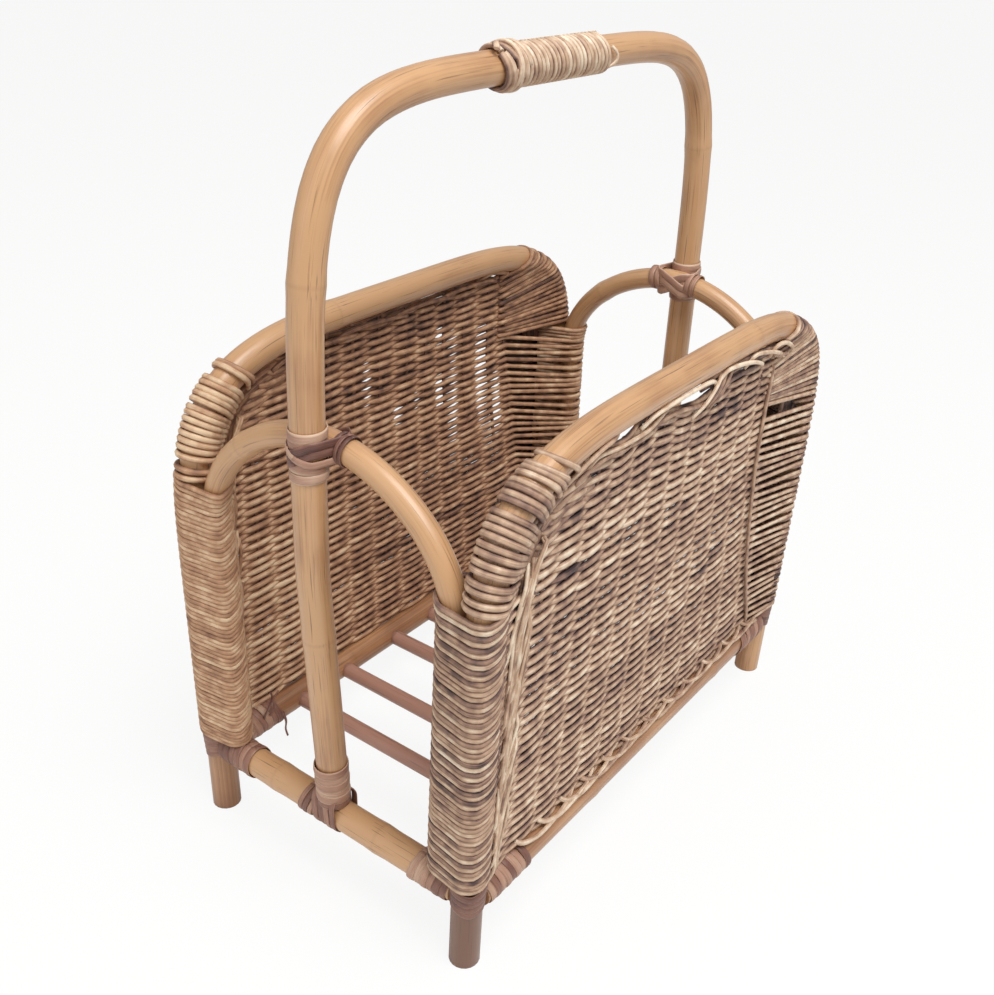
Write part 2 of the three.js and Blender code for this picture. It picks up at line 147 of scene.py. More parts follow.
def newMaterial(name):
    material = bpy.data.materials.new(name)
    material.use_nodes = True
    tree = material.node_tree
    tree.nodes.clear()
    return material, tree


# Rattan cane with its skin on: satin, honey tan, with long fine streaks and cracks and faint joints
caneSkin = {
    "pale": "#C79B70",
    "honey": "#A47551",
    "brown": "#704832",
    "joint": "#6E4A35",
    "crack": "#4E3225",
    "toneRange": (0.97, 1.9),
    "roughness": (0.32, 0.48),
    # length and width of the streaks and the cracks
    "streaks": (110, 1.5),
    "cracks": (45, 0.9),
    "crackRange": (0.61, 0.75),
    "crackDepth": 0.75,
    # how far from a joint its ring reaches
    "jointRange": (0.2, 1.8),
    "jointDepth": 0.1,
    "patchSize": 55,
}


def makeCane(name, finish):
    material, tree = newMaterial(name)
    lay = addNode(tree, "Attribute", output="Vector", attribute_name="lay")
    tone = addNode(tree, "Attribute", output="Fac", attribute_name="tone")
    joint = addNode(tree, "Attribute", output="Fac", attribute_name="joint")
    streaks = addGrain(tree, lay, finish["streaks"], 5.0, 0.6)
    patches = addNode(tree, "TexNoise", {"Vector": lay, "Scale": 1 / finish["patchSize"],
                                         "Detail": 3.0})
    shade = addMath(tree, "ADD", addMath(tree, "ADD", streaks, patches), tone)
    skin = addNode(tree, "ValToRGB", {"Fac": addRange(tree, shade, finish["toneRange"])},
                   stops=((0.0, finish["pale"]), (0.45, finish["honey"]), (1.0, finish["brown"])))
    cracks = addGrain(tree, lay, finish["cracks"], 2.0)
    crackMask = addRange(tree, cracks, finish["crackRange"], (0.0, finish["crackDepth"]))
    cracked = addOver(tree, crackMask, skin, finish["crack"])
    ringMask = addRange(tree, joint, finish["jointRange"], (finish["jointDepth"], 0.0))
    ringed = addOver(tree, ringMask, cracked, finish["joint"])
    gloss = addRange(tree, streaks, (0.3, 0.7), finish["roughness"])
    bump = addNode(tree, "Bump", {"Height": streaks, "Strength": 0.25, "Distance": 0.0004})
    shader = addNode(tree, "BsdfPrincipled",
                     {"Base Color": ringed, "Roughness": gloss, "IOR": 1.46, "Coat Weight": 0.6,
                      "Coat Roughness": 0.34, "Normal": bump})
    addNode(tree, "OutputMaterial", {"Surface": shader})
    return material


# Round and flat strands pulled from the core: matt and fibrous, from cream to stained brown
coreStrand = {
    "cream": "#EAD9C2",
    "straw": "#C6A78C",
    "tan": "#9E7D69",
    "umber": "#6D524A",
    "stain": "#35272A",
    "roughness": 0.55,
    # length and width of the changes of tone and of the fibres, and how strong they are
    "drift": (11, 20),
    "driftTone": 1.25,
    "fibres": (25, 0.5),
    "fibreTone": 0.6,
    # painted shade at the rim: a darker tone towards a strand's edges, where it meets its
    # neighbours, by distance from the strand's middle
    "rim": (1.0, 2.0),
    "rimTone": 0.3,
}


def makeStrand(name, finish):
    material, tree = newMaterial(name)
    lay = addNode(tree, "Attribute", output="Vector", attribute_name="lay")
    tone = addNode(tree, "Attribute", output="Fac", attribute_name="tone")
    drift = addGrain(tree, lay, finish["drift"], 4.0)
    fibres = addGrain(tree, lay, finish["fibres"], 3.0)
    shade = addMath(tree, "MULTIPLY_ADD", addMath(tree, "ADD", drift, -0.5),
                    finish["driftTone"], tone)
    shade = addMath(tree, "MULTIPLY_ADD", addMath(tree, "ADD", fibres, -0.5),
                    finish["fibreTone"], shade)
    # painted shade that darkens a strand towards its edges, where it meets its neighbours; a
    # negative tone makes the edges paler
    aside = addMath(tree, "ABSOLUTE", addNode(tree, "SeparateXYZ", {0: lay}, output="Y"))
    shade = addMath(tree, "ADD", shade,
                    addRange(tree, aside, finish["rim"], (0.0, finish["rimTone"])))
    colour = addNode(tree, "ValToRGB", {"Fac": shade},
                     stops=((0.0, finish["cream"]), (0.3, finish["straw"]), (0.55, finish["tan"]),
                            (0.78, finish["umber"]), (1.0, finish["stain"])))
    bump = addNode(tree, "Bump", {"Height": fibres, "Strength": 0.4, "Distance": 0.0004})
    shader = addNode(tree, "BsdfPrincipled", {"Base Color": colour, "IOR": 1.46, "Normal": bump,
                                              "Roughness": finish["roughness"]})
    addNode(tree, "OutputMaterial", {"Surface": shader})
    return material


poleCane = makeCane("honeyRattanCane", caneSkin)
# The floor rods are thinner cane, darker and redder from handling and damp
rodCane = makeCane("darkRattanCane", dict(caneSkin, pale="#B38776", honey="#8D6558",
                                          brown="#64463E", joint="#4A332C", crack="#3E2A24"))
reed = makeStrand("rattanCoreReed", coreStrand)
# The back panel and its wraps take a warmer, redder copy of the core reed: the wraps' own colour,
# and painted warm shade on the back weave's inner face
warmBackReed = makeStrand("warmBackRattanCoreReed", dict(coreStrand, cream="#E0C4A2", straw="#BD9271",
                                                 tan="#987056", umber="#6A4A3C",
                                                 stain="#35251F"))
# Binding strips are split cane soaked for tying, so they dried purple brown with pale edges
peel = makeStrand("splitCaneBinding", dict(coreStrand, cream="#CDAF96", straw="#AC8470",
                                           tan="#8A6253", umber="#67453D", stain="#38282A",
                                           roughness=0.45, drift=(30, 20), driftTone=0.8,
                                           rim=(1.9, 2.9), rimTone=-0.3))
print("materials made")


# Mesh pieces, swept along lines of stations
def strandOf(points, across, wide, deep, tone, **more):
    # a strand by its line, the axis its width lies along, half its width and depth, and how dark
    # it is; its grain starts anywhere
    return dict(more, points=points, across=across, wide=wide, deep=deep, tone=tone,
                shift=random.uniform(0, 9000))


def valueAt(strand, name, k, default=0.0):
    value = strand.get(name, default)
    return value[k] if isinstance(value, list) else value


def sweepStrands(bm, strands, sides):
    # each strand is a grid of faces rolled up round its line, and the seams are welded at the end
    layers = bm.verts.layers
    layers.float_vector.new("lay")
    for name in ("tone", "joint"):
        layers.float.new(name)
    lay, tone, joint = layers.float_vector["lay"], layers.float["tone"], layers.float["joint"]
    turns = [(c % sides + 0.5) / sides * 2 * math.pi for c in range(sides + 1)]
    corners = [(math.cos(turn), math.sin(turn)) for turn in turns]
    for strand in strands:
        points, run = strand["points"], strand["shift"]
        last = len(points) - 1
        grid = bmesh.ops.create_grid(bm, x_segments=sides, y_segments=last, size=1)["verts"]
        for k, point in enumerate(points):
            ahead = (points[min(k + 1, last)] - points[max(k - 1, 0)]).normalized()
            wide = (strand["across"] - ahead * strand["across"].dot(ahead)).normalized()
            deep = ahead.cross(wide)
            if k:
                run += (point - points[k - 1]).length
            halfWide = valueAt(strand, "wide", k)
            halfDeep = valueAt(strand, "deep", k, halfWide)
            shade = valueAt(strand, "tone", k)
            nearest = valueAt(strand, "joint", k, 50.0)
            # painted shade on the side of a strand that faces the middle of the weave
            inwardShade = -valueAt(strand, "lining", k) * deep.y
            for corner, (flat, steep) in enumerate(corners):
                vert = grid[k * (sides + 1) + corner]
                vert.co = point + wide * (halfWide * flat) + deep * (halfDeep * steep)
                vert[lay] = (run, halfWide * flat, halfDeep * steep)
                vert[tone] = shade + max(0.0, inwardShade * steep)
                vert[joint] = nearest
    bmesh.ops.remove_doubles(bm, verts=bm.verts, dist=0.0001)
    bmesh.ops.edgeloop_fill(bm, edges=[edge for edge in bm.edges if edge.is_boundary])


def cutAtFloor(bm):
    cut = bmesh.ops.bisect_plane(bm, geom=bm.verts[:] + bm.edges[:] + bm.faces[:],
                                 plane_co=(0, 0, 0), plane_no=(0, 0, 1), clear_inner=True)
    rim = [item for item in cut["geom_cut"] if isinstance(item, bmesh.types.BMEdge)]
    bmesh.ops.edgeloop_fill(bm, edges=rim)


def makePiece(name, strands, sides, material, node, standing=False):
    # the strands as one mesh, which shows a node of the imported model
    bm = bmesh.new()
    sweepStrands(bm, strands, sides)
    if standing:
        cutAtFloor(bm)
    bmesh.ops.recalc_face_normals(bm, faces=bm.faces)
    bmesh.ops.scale(bm, vec=(mm, mm, mm), verts=bm.verts)
    for face in bm.faces:
        face.smooth = len(face.verts) < 5
    mesh = bpy.data.meshes.new(name)
    bm.to_mesh(mesh)
    bm.free()
    mesh.materials.append(material)
    piece = bpy.data.objects.new(name, mesh)
    scene.collection.objects.link(piece)
    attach(piece, "root")
    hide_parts(node)


def resample(points, spacing):
    # evenly spaced stations along a line of points, keeping its two ends
    run = [0.0]
    for a, b in zip(points, points[1:]):
        run.append(run[-1] + (b - a).length)
    count = max(2, round(run[-1] / spacing))
    stations, index = [], 0
    for k in range(count + 1):
        target = run[-1] * k / count
        while index < len(run) - 2 and run[index + 1] < target:
            index += 1
        step = run[index + 1] - run[index]
        share = (target - run[index]) / step if step else 0
        stations.append(points[index].lerp(points[index + 1], share))
    return stations


def smoothLine(points, spacing):
    # a smooth line through a few points, as evenly spaced stations
    dense = []
    for k in range(len(points) - 1):
        before = points[max(k - 1, 0)]
        start, end = points[k], points[k + 1]
        after = points[min(k + 2, len(points) - 1)]
        for j in range(10):
            t = j / 10
            dense.append(0.5 * (2 * start + (end - before) * t
                                + (2 * before - 5 * start + 4 * end - after) * t ** 2
                                + (3 * start - before - 3 * end + after) * t ** 3))
    return resample(dense + [points[-1]], spacing)


def tightBand(circles, fromAngle, toAngle, steps):
    # the line a strand takes when it is pulled tight round circles (x, y, radius)
    band = []
    for k in range(steps + 1):
        angle = math.radians(lerp(fromAngle, toAngle, k / steps))
        flat, steep = math.cos(angle), math.sin(angle)
        x, y, radius = max(circles, key=lambda c: c[0] * flat + c[1] * steep + c[2])
        band.append((x + radius * flat, y + radius * steep))
    return band


# The main measures of the basket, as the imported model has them
basket = {
    "poleRadius": 9.75,
    "archRadius": 7.8,
    "rodRadius": 5.75,
    "postX": 195.2,
    "footY": 108.0,
    "topY": 113.0,
    "endRailHeight": 55.0,
    "sideRailHeight": 50.4,
    "sideRailY": 109.75,
    "bundleTop": 260.2,
    "bundleBottom": 66.65,
    "archSeat": 17.85,
    "archTopX": 192.4,
    "weaveY": 3.0,
}
corners = [("front_left", -1, -1), ("front_right", 1, -1), ("back_left", -1, 1),
           ("back_right", 1, 1)]
panelShape = {"footHalf": basket["postX"], "footHeight": -30.0, "shoulderHalf": 196.2,
              "shoulderHeight": 178.0, "topHeight": 330.2, "roundness": 4.6}
handleShape = {"footHalf": basket["postX"], "footHeight": basket["endRailHeight"],
               "shoulderHalf": 206.4, "shoulderHeight": 241.0, "topHeight": 495.6,
               "roundness": 5.7}


def panelY(height):
    return lerp(basket["footY"], basket["topY"], height / panelShape["topHeight"])


archShape = {"footHalf": panelY(basket["endRailHeight"]) - basket["archSeat"],
             "footHeight": basket["endRailHeight"],
             "shoulderHalf": panelY(242.19) - basket["archSeat"], "shoulderHeight": 242.19,
             "topHeight": 317.89, "roundness": 1.85}


def shoulderSpot(shape, angle):
    # (across, height) on a bent pole's top, a superellipse, with angle 0 at one shoulder
    power = shape["roundness"]
    flat, steep = math.cos(angle), math.sin(angle)
    reach = (abs(flat) ** power + abs(steep) ** power) ** (-1 / power)
    return (shape["shoulderHalf"] * flat * reach,
            lerp(shape["shoulderHeight"], shape["topHeight"], steep * reach))


def bentPole(shape, steps=96):
    # (across, height) stations of a bent pole: straight legs and the superellipse between them
    line = [(-shape["footHalf"], shape["footHeight"])]
    for k in range(steps + 1):
        across, height = shoulderSpot(shape, math.pi * k / steps)
        line.append((-across, height))
    return line + [(shape["footHalf"], shape["footHeight"])]


def riseAt(shape, height):
    return (height - shape["shoulderHeight"]) / (shape["topHeight"] - shape["shoulderHeight"])


def halfAt(shape, height):
    # how far out a bent pole stands at a height
    if height <= shape["shoulderHeight"]:
        share = (height - shape["footHeight"]) / (shape["shoulderHeight"] - shape["footHeight"])
        return lerp(shape["footHalf"], shape["shoulderHalf"], share)
    power = shape["roundness"]
    return shape["shoulderHalf"] * max(0.0, 1 - riseAt(shape, height) ** power) ** (1 / power)


def archX(height):
    # the arches' tops lean in towards the handle
    return lerp(basket["postX"], basket["archTopX"], max(0.0, riseAt(archShape, height)))


# Poles
poleLook = {
    "sides": 20,
    "rodSides": 16,
    "spacing": 4.0,
    "wander": 0.45,
    "swelling": 0.45,
    "swellingLength": 5.0,
    "unevenness": 0.012,
    # where the handle and the arches stand on the end rails, and where the other poles end
    "seatHeight": 64.0,
    "sideRailHalf": 188.0,
    "endRailHalf": 101.0,
    "rodHalf": 101.5,
    "rodPlaces": (-0.634, -0.398, -0.114, 0.114, 0.398, 0.634),
}


def canePole(points, radius, normal, joints, tone, seed):
    stations = resample(points, poleLook["spacing"])
    total = sum((b - a).length for a, b in zip(stations, stations[1:]))
    step = total / (len(stations) - 1)
    rings = [round(joint / step) * step for joint in joints]
    strand = {"points": [], "across": normal, "wide": [], "joint": [], "tone": [],
              "shift": seed * 431.0}
    for k, point in enumerate(stations):
        place = k * step
        nearest = min((abs(place - ring) for ring in rings), default=50.0)
        bulge = poleLook["swelling"] * math.exp(-(nearest / poleLook["swellingLength"]) ** 2)
        uneven = 1 + sway(place * 0.012, seed, poleLook["unevenness"])
        strand["points"].append(point + normal * sway(place * 0.006, seed + 3, poleLook["wander"]))
        strand["wide"].append(radius * uneven + bulge)
        strand["joint"].append(nearest)
        stained = along(tone, place) if isinstance(tone, list) else tone
        strand["tone"].append(stained + sway(place * 0.008, seed + 5, 0.25))
    return strand


def makePoles():
    radius, sides, postX = basket["poleRadius"], poleLook["sides"], basket["postX"]
    onRail = {"footHeight": poleLook["seatHeight"]}
    # the panel hoops' legs run on below the floor and are cut there
    belowFloor = {"footHeight": -3.0, "footHalf": 195.33}
    line = [Vector((across, 0, height)) for across, height in bentPole(handleShape | onRail)]
    makePiece("handle", [canePole(line, radius, alongY, [133, 345, 560, 840, 1050], 0.05, 1)],
              sides, poleCane, "handle_hoop")
    for side, sideY, joints, tone in (
            ("front", -1, [330, 575], [(0, 1.7), (50, 1.3), (90, 0.2), (1000, 0.0), (1400, 0.6)]),
            ("back", 1, [420, 700], [(0, 0.5), (60, 0.35), (90, -0.1), (1400, -0.1)])):
        line = [Vector((across, sideY * panelY(height), height))
                for across, height in bentPole(panelShape | belowFloor)]
        makePiece(f"{side}PanelHoop", [canePole(line, radius, alongY, joints, tone, 4 + sideY)],
                  sides, poleCane, f"panel_hoop_{side}", standing=True)
        line = [Vector((x, sideY * basket["sideRailY"], basket["sideRailHeight"]))
                for x in (-poleLook["sideRailHalf"], poleLook["sideRailHalf"])]
        makePiece(f"{side}Rail", [canePole(line, radius, upright, [120, 290], 0.4, 8 + sideY)],
                  sides, poleCane, f"side_rail_{side}")
    for end, endX, joints in (("left", -1, [62, 148]), ("right", 1, [95])):
        line = [Vector((endX * postX, y, basket["endRailHeight"]))
                for y in (-poleLook["endRailHalf"], poleLook["endRailHalf"])]
        makePiece(f"{end}EndRail", [canePole(line, radius, upright, joints, -0.55, 12 + endX)],
                  sides, poleCane, f"end_rail_{end}")
        line = [Vector((endX * archX(height), across, height))
                for across, height in bentPole(archShape | onRail)]
        arch = canePole(line, basket["archRadius"], alongX, [95, 380], 0.0, 16 + endX)
        makePiece(f"{end}EndArch", [arch], sides, poleCane, f"end_arch_{end}")
    for index, share in enumerate(poleLook["rodPlaces"]):
        line = [Vector((share * postX, y, basket["sideRailHeight"]))
                for y in (-poleLook["rodHalf"], poleLook["rodHalf"])]
        rod = canePole(line, basket["rodRadius"], upright, [60 + 17 * index], -0.15, 20 + index)
        makePiece(f"floorRod{index + 1}", [rod], poleLook["rodSides"], rodCane,
                  f"floor_rod_{index + 1}")


makePoles()
print("poles made")

# Woven panels. Offsets are outward from the panel's mid plane, and heights are up the panel.
weave = {
    "halfDepth": 1.45,
    "fullness": 0.5,
    # a six-sided strand reaches this share of its half width, so it is drawn that much wider
    "flatShare": 0.866,
    "loopRadius": 1.6,
    "amplitude": 1.2,
    "squareness": 0.62,
    "spacing": 2.6,
    "sides": 6,
    "stakeHalfWidth": 2.3,
    "stakeHalfDepth": 0.6,
    "stakeSides": 8,
    "endHalfDepth": 1.3,
    "thinning": 0.36,
    "wander": 1.6,
    "wobble": 0.36,
    # rows settle towards even ones at the bottom, and sag and open at the top, as (from, over)
    "settling": (58, 20),
    "sagging": (190, 120),
    "opening": (285, 33),
    # how far the rows part at a hole
    "parting": 0.8,
    # after how many spots of its line a strand is joined to the next one
    "joins": (110, 480),
    "toneSpread": 0.085,
    "stakeTone": 0.3,
    "liningHalfWidth": 1.95,
    "borderHalfWidth": 1.9,
    # the rows crowd down towards the far post, which takes this much less height than they do
    "farDrop": 14.0,
    # how far the far post's turns crowd together and part, and over what height
    "crowding": 1.9,
    "crowdLength": 40.0,
}
panels = {
    "front": {
        "side": -1,
        "firstRow": 62.4,
        "pitch": 3.45,
        "rows": 75,
        # the last height at which a row still goes round the far post
        "farTop": 270.0,
        "lean": 45.0,
        "sag": 6.5,
        # rise and dip of the near post's turns, by their angle round it
        "sweep": [(-182, 14), (-120, 5), (-60, 1), (0, -2.5), (50, -3), (100, 1), (140, 5),
                  (176, 9)],
        "stakesX": [-171, -147, -123, -99, -75, -51, -27, -3, 21, 45, 69, 93, 117],
        "edge": [(60, -186), (116, -173), (175, -170), (222, -168), (250, -164), (272, -159),
                 (287, -151), (295, -142), (301, -133), (306, -125), (318, -109)],
        "holes": [],
        # openings under the hoop, as (x, half width, drop of the top rows)
        "openings": [(-79, 15, 4.5), (1, 23, 6.0)],
        "tonePatches": [(-110, 246, 48, 5, 0.4), (-135, 183, 28, 4, 0.4), (10, 232, 14, 5, 0.35),
                   (70, 165, 22, 6, 0.6), (-40, 120, 60, 5, 0.2), (60, 290, 40, 9, 0.3)],
        "tone": 0.3,
        # painted shade on the sides of the strands that face the middle of the weave
        "liningTone": 0.65,
        "bundleTone": 0.6,
        "cornerTone": 0.42,
        # turns round the hoop's near corner, as (first, last, count) along the pole
        "nearTurns": [(0, 13, 4), (19, 48, 8), (55, 67, 4), (73, 81, 3), (90, 90, 1)],
        "reed": reed,
        "seed": 11,
        # strands of the top border, as (x, outward, height) spots with a half width and a tone
        "border": [
            ([(-116, 2, 309), (-107, 3.6, 315.5), (-84, 3.8, 313), (-56, 3.8, 312.5),
              (-42, 3.4, 315.5), (-30, 2, 318)], 1.4, 0.28),
            ([(-60, 2, 315), (-50, 5, 321), (-32, 6.2, 323), (-3, 6.2, 323), (18, 5.8, 321.4),
              (33, 2, 314)], 1.5, 0.02),
            ([(-142, 0, 304), (-127, 3.4, 313), (-110, 5.4, 320), (-96, 5.4, 322), (-86, 2, 321)],
             1.6, 0.4),
            ([(-126, 2, 305), (-114, 3.4, 310), (-96, 3.6, 311.5), (-76, 3, 309), (-66, 0, 308)],
             1.4, 0.45),
            ([(-46, 2, 311), (-32, 3.8, 313.5), (-14, 3.8, 312), (4, 3.4, 308), (20, 2, 305)],
             1.5, 0.45),
            ([(4, 2, 300), (14, 4.8, 306), (24, 5.4, 312.5), (31, 5, 318.5), (38, 2, 320)], 1.4,
             0.15),
            ([(28, 2, 300), (36, 4.6, 307), (42, 5.2, 314), (47, 4.6, 319.5), (52, 2, 320)], 1.6,
             0.5),
            ([(22, 2, 301), (30, 4.4, 308), (36, 4.8, 314.5), (41, 3.6, 319.5), (48, 1, 320)],
             1.6, 0.62),
            ([(32, 2, 313), (38, 5.6, 322), (56, 6.8, 321.6), (76, 6.8, 317.5), (92, 5.4, 311.5),
              (104, 1, 306)], 1.5, 0.05),
            # the farthest stake shows in front of the rows
            ([(119.5, 1, 306), (118.5, 3.6, 296), (116.5, 4, 270), (117, 4, 232),
              (122.5, 4, 190), (133, 4, 140), (145, 4, 102), (156, 3.6, 74), (159, 1, 66)],
             1.35, 0.34),
            # three broad dark strands behind the border under the hoop: real strands, darkened as
            # painted shade in the opening there
            ([(22, 0, 309), (38, 2.6, 311), (60, 2.6, 311), (84, 2, 309.5), (104, 0, 306)], 2.1,
             0.7),
            ([(18, -1, 314), (50, 1.6, 316), (80, 1.6, 315.5), (112, 0.6, 312)], 2.1, 0.72),
            ([(16, 0.6, 319.5), (40, 2.6, 321), (70, 3.2, 320.6), (98, 3.4, 318.8),
              (124, 2, 313)], 1.9, 0.6),
            ([(72, 2, 313), (78, 6.2, 321.4), (95, 7.2, 319), (115, 7.2, 313), (132, 4, 305)], 1.5,
             0.14),
            ([(106, 4, 312), (110, 7.2, 319.5), (122, 8, 318.6), (135, 7.6, 312.4), (144, 5, 306)],
             1.6, 0.22),
            ([(108, 6, 314), (116, 6.6, 310.5), (128, 6.2, 308.6), (138, 4, 306)], 1.4, 0.4),
        ],
    },
    "back": {
        "side": 1,
        "firstRow": 62.4,
        "pitch": 3.15,
        "rows": 81,
        "farTop": 262.0,
        "lean": 40.0,
        "sag": 2.0,
        "sweep": [(-182, 22), (-150, 12), (-112, 3), (-60, -3), (0, -1.5), (60, 1), (176, 6)],
        "stakesX": [-170, -146, -122, -98, -74, -50, -23, 6, 28, 49, 73, 104, 126],
        "edge": [(60, -184), (140, -172), (222, -168), (250, -163), (272, -157), (287, -148),
                 (296, -138), (302, -129), (318, -108)],
        "openings": [],
        # rows that part in pairs, as (x, height, half width, half height)
        "holes": [(66, 240, 8.5, 54), (94, 230, 9.5, 46), (120, 212, 8, 30), (120, 268, 7, 9),
                  (43, 238, 6, 14), (43, 285, 5, 6), (20, 240, 5, 10), (-6, 236, 6, 9),
                  (-34, 268, 5, 20)],
        # darker in a few bands and along the top, paler towards the lower left
        "tonePatches": [(-125, 125, 60, 80, -0.4), (-60, 210, 40, 8, 0.15), (60, 120, 60, 12, 0.15),
                   (0, 300, 90, 9, 0.25)],
        "tone": 0.35,
        # painted shade on the sides of the strands that face the middle of the weave
        "liningTone": 0.45,
        "bundleTone": 0.22,
        "cornerTone": 0.18,
        "nearTurns": [(0, 4, 2), (12, 58, 13), (67, 71, 2)],
        # warmer, redder reed: painted warm shade on the weave's inner face
        "reed": warmBackReed,
        "seed": 23,
        "border": [
            ([(-126, -2, 306), (-112, -4, 312), (-86, -5, 313), (-58, -4, 311), (-46, -1, 309)],
             1.7, 0.5),
            ([(-70, -1, 309), (-56, -4, 314), (-30, -5, 314.5), (-6, -4, 312), (6, -1, 309)],
             1.7, 0.6),
            ([(-16, -1, 309), (-2, -4, 314), (22, -5, 315), (46, -4, 313), (58, -1, 310)],
             1.7, 0.55),
            ([(36, -1, 309), (52, -4, 315), (78, -5, 315.5), (100, -4, 314), (112, -1, 310)],
             1.7, 0.5),
            ([(84, -1, 312), (98, -4, 319), (116, -5, 317), (134, -4, 310)], 1.7, 0.35),
            ([(60, 0, 316), (84, 0, 319.4), (104, 0, 318), (126, 0, 313)], 1.9, 0.6),
            ([(-20, 0, 315), (10, 0, 319), (50, 0, 319), (76, 0, 316)], 1.7, 0.6),
            ([(-120, 2, 308), (-100, 4, 313), (-40, 4, 314), (30, 4, 313.5), (100, 4, 313),
              (120, 2, 308)], 1.8, 0.5),
        ],
    },
}


def panelSpot(panel, x, out, height):
    y = panelY(height) + basket["weaveY"] + out
    return Vector((x, panel["side"] * y, height))


def stakeX(panel, index, height):
    if index == 0:
        return along(panel["edge"], height)
    drop = max(0.0, (250 - height) / 190)
    return panel["stakesX"][index] + panel["lean"] * (index / 12) ** 3 * drop


def outOf(point):
    return abs(point.y) - panelY(point.z) - basket["weaveY"]


def poleCorner(end):
    # the panel hoop's centre line from the bundle's top on, as distances and (x, height) spots
    line, run = [], 0.0
    for k in range(400):
        x, height = shoulderSpot(panelShape, math.pi * k / 800)
        if height >= basket["bundleTop"] - 4:
            spot = (end * x, height)
            if line:
                run += math.dist(line[-1][1], spot)
            line.append((run, spot))
    return line


cornerLines = {end: poleCorner(end) for end in (-1, 1)}


def cornerSpot(end, distance):
    line = cornerLines[end]
    return min(line, key=lambda item: abs(item[0] - distance - 4))[1]


def bundleCircles(height, extra):
    # the post and the arch's leg in plan, as (distance outward along x, offset, radius)
    midPlane = panelY(height) + basket["weaveY"]
    return [(halfAt(panelShape, height), -basket["weaveY"], basket["poleRadius"] + extra),
            (archX(height), halfAt(archShape, height) - midPlane, basket["archRadius"] + extra)]


def postHeight(end, height):
    # where on its post a row of this height is turned round; at the far end the turns sit
    # lower, crowd together here and part there
    if end < 0:
        return height
    share = (height - basket["bundleBottom"]) / (basket["bundleTop"] - basket["bundleBottom"])
    share = min(1.0, max(0.0, share))
    crowding = weave["crowding"] * min(1.0, 8 * share * (1 - share))
    return (height - weave["farDrop"] * share
            + crowding * math.sin(2 * math.pi * height / weave["crowdLength"]))


def sweepAt(panel, angle, height):
    # how far the near posts' turns rise or dip at an angle round the post
    rise = along(panel["sweep"], angle)
    return rise if rise > 0 else rise * min(1.0, max(0.0, (height - 66) / 12))


def bundleHairpin(panel, end, fromHeight, toHeight):
    # from the panel's inner face round the arch's leg and the post to its outer face
    fromHeight, toHeight = postHeight(end, fromHeight), postHeight(end, toHeight)
    middle = (fromHeight + toHeight) / 2
    first, last, steps = -145, 140 if end < 0 else 80, 28
    band = tightBand(bundleCircles(middle, weave["loopRadius"] + 0.2), first, last, steps)
    line = []
    for k, (x, out) in enumerate(band):
        height = lerp(fromHeight, toHeight, k / steps)
        if end < 0:
            angle = lerp(first, last, k / steps)
            ease = min(1.0, (angle - first) / 30, (last - angle) / 30)
            height += ease * sweepAt(panel, angle, middle)
        line.append(panelSpot(panel, end * x, out, max(basket["bundleBottom"] + 0.4, height)))
    return line


def stakeHairpin(panel, end, spot, out):
    # a short turn round the outermost stake, from one face to the other
    line = []
    for k in range(1, 8):
        angle = math.pi * (k / 8 - 0.5)
        line.append(panelSpot(panel, spot[0] + end * 3.4 * math.cos(angle),
                              -out * math.sin(angle), spot[1] + panel["pitch"] * k / 8))
    return line


def rowStakes(panel, row):
    # the stakes a row passes, as (x, side of the stake it passes on)
    height = panel["firstRow"] + panel["pitch"] * row
    edge = stakeX(panel, 0, height)
    inner = [(stakeX(panel, i, height), 1 if (i + row) % 2 == 0 else -1) for i in range(1, 13)]
    inner = [item for item in inner if item[0] > edge + 13]
    return height, [(edge, -inner[0][1])] + inner


def holesNear(panel, x, height):
    # how near a spot lies to each hole, where rows part in pairs: 1 in its middle, 0 far off
    return [math.exp(-((x - holeX) / halfX) ** 2 - ((height - holeHeight) / halfHeight) ** 4)
            for holeX, holeHeight, halfX, halfHeight in panel["holes"]]


def shareOf(name, height):
    start, over = weave[name]
    return (height - start) / over


def rowShift(panel, row, x, height):
    # rows wander together, wobble a little on their own, and sag near the top on the right
    shift = sway(x * 0.014, panel["seed"] + row * 0.016, weave["wander"])
    shift += sway(x * 0.045 + row * 3.7, panel["seed"] + 0.5, weave["wobble"])
    rise = max(0.0, shareOf("sagging", height))
    shift -= panel["sag"] * rise ** 1.5 * min(1.0, max(0.0, (x + 40) / 70))
    for openX, halfX, drop in panel["openings"]:
        opened = max(0.0, shareOf("opening", height))
        shift -= drop * opened * math.exp(-((x - openX) / halfX) ** 2)
    for near in holesNear(panel, x, height):
        shift += near * (weave["parting"] if row % 2 else -weave["parting"])
    return shift * min(1.0, shareOf("settling", height))


def rowLine(panel, row):
    height, stakes = rowStakes(panel, row)
    line, hidden = [], []
    for (fromX, fromSide), (toX, _) in zip(stakes, stakes[1:]):
        if fromSide * panel["side"] > 0 and line:
            hidden.append(len(line))
        for j in range(10):
            share = j / 10
            x = lerp(fromX, toX, share)
            wave = fromSide * math.cos(math.pi * share)
            wave = math.copysign(abs(wave) ** weave["squareness"], wave)
            line.append(panelSpot(panel, x, weave["amplitude"] * wave,
                                  height + rowShift(panel, row, x, height)))
    x = stakes[-1][0]
    line.append(panelSpot(panel, x, weave["amplitude"] * stakes[-1][1],
                          height + rowShift(panel, row, x, height)))
    return line, hidden


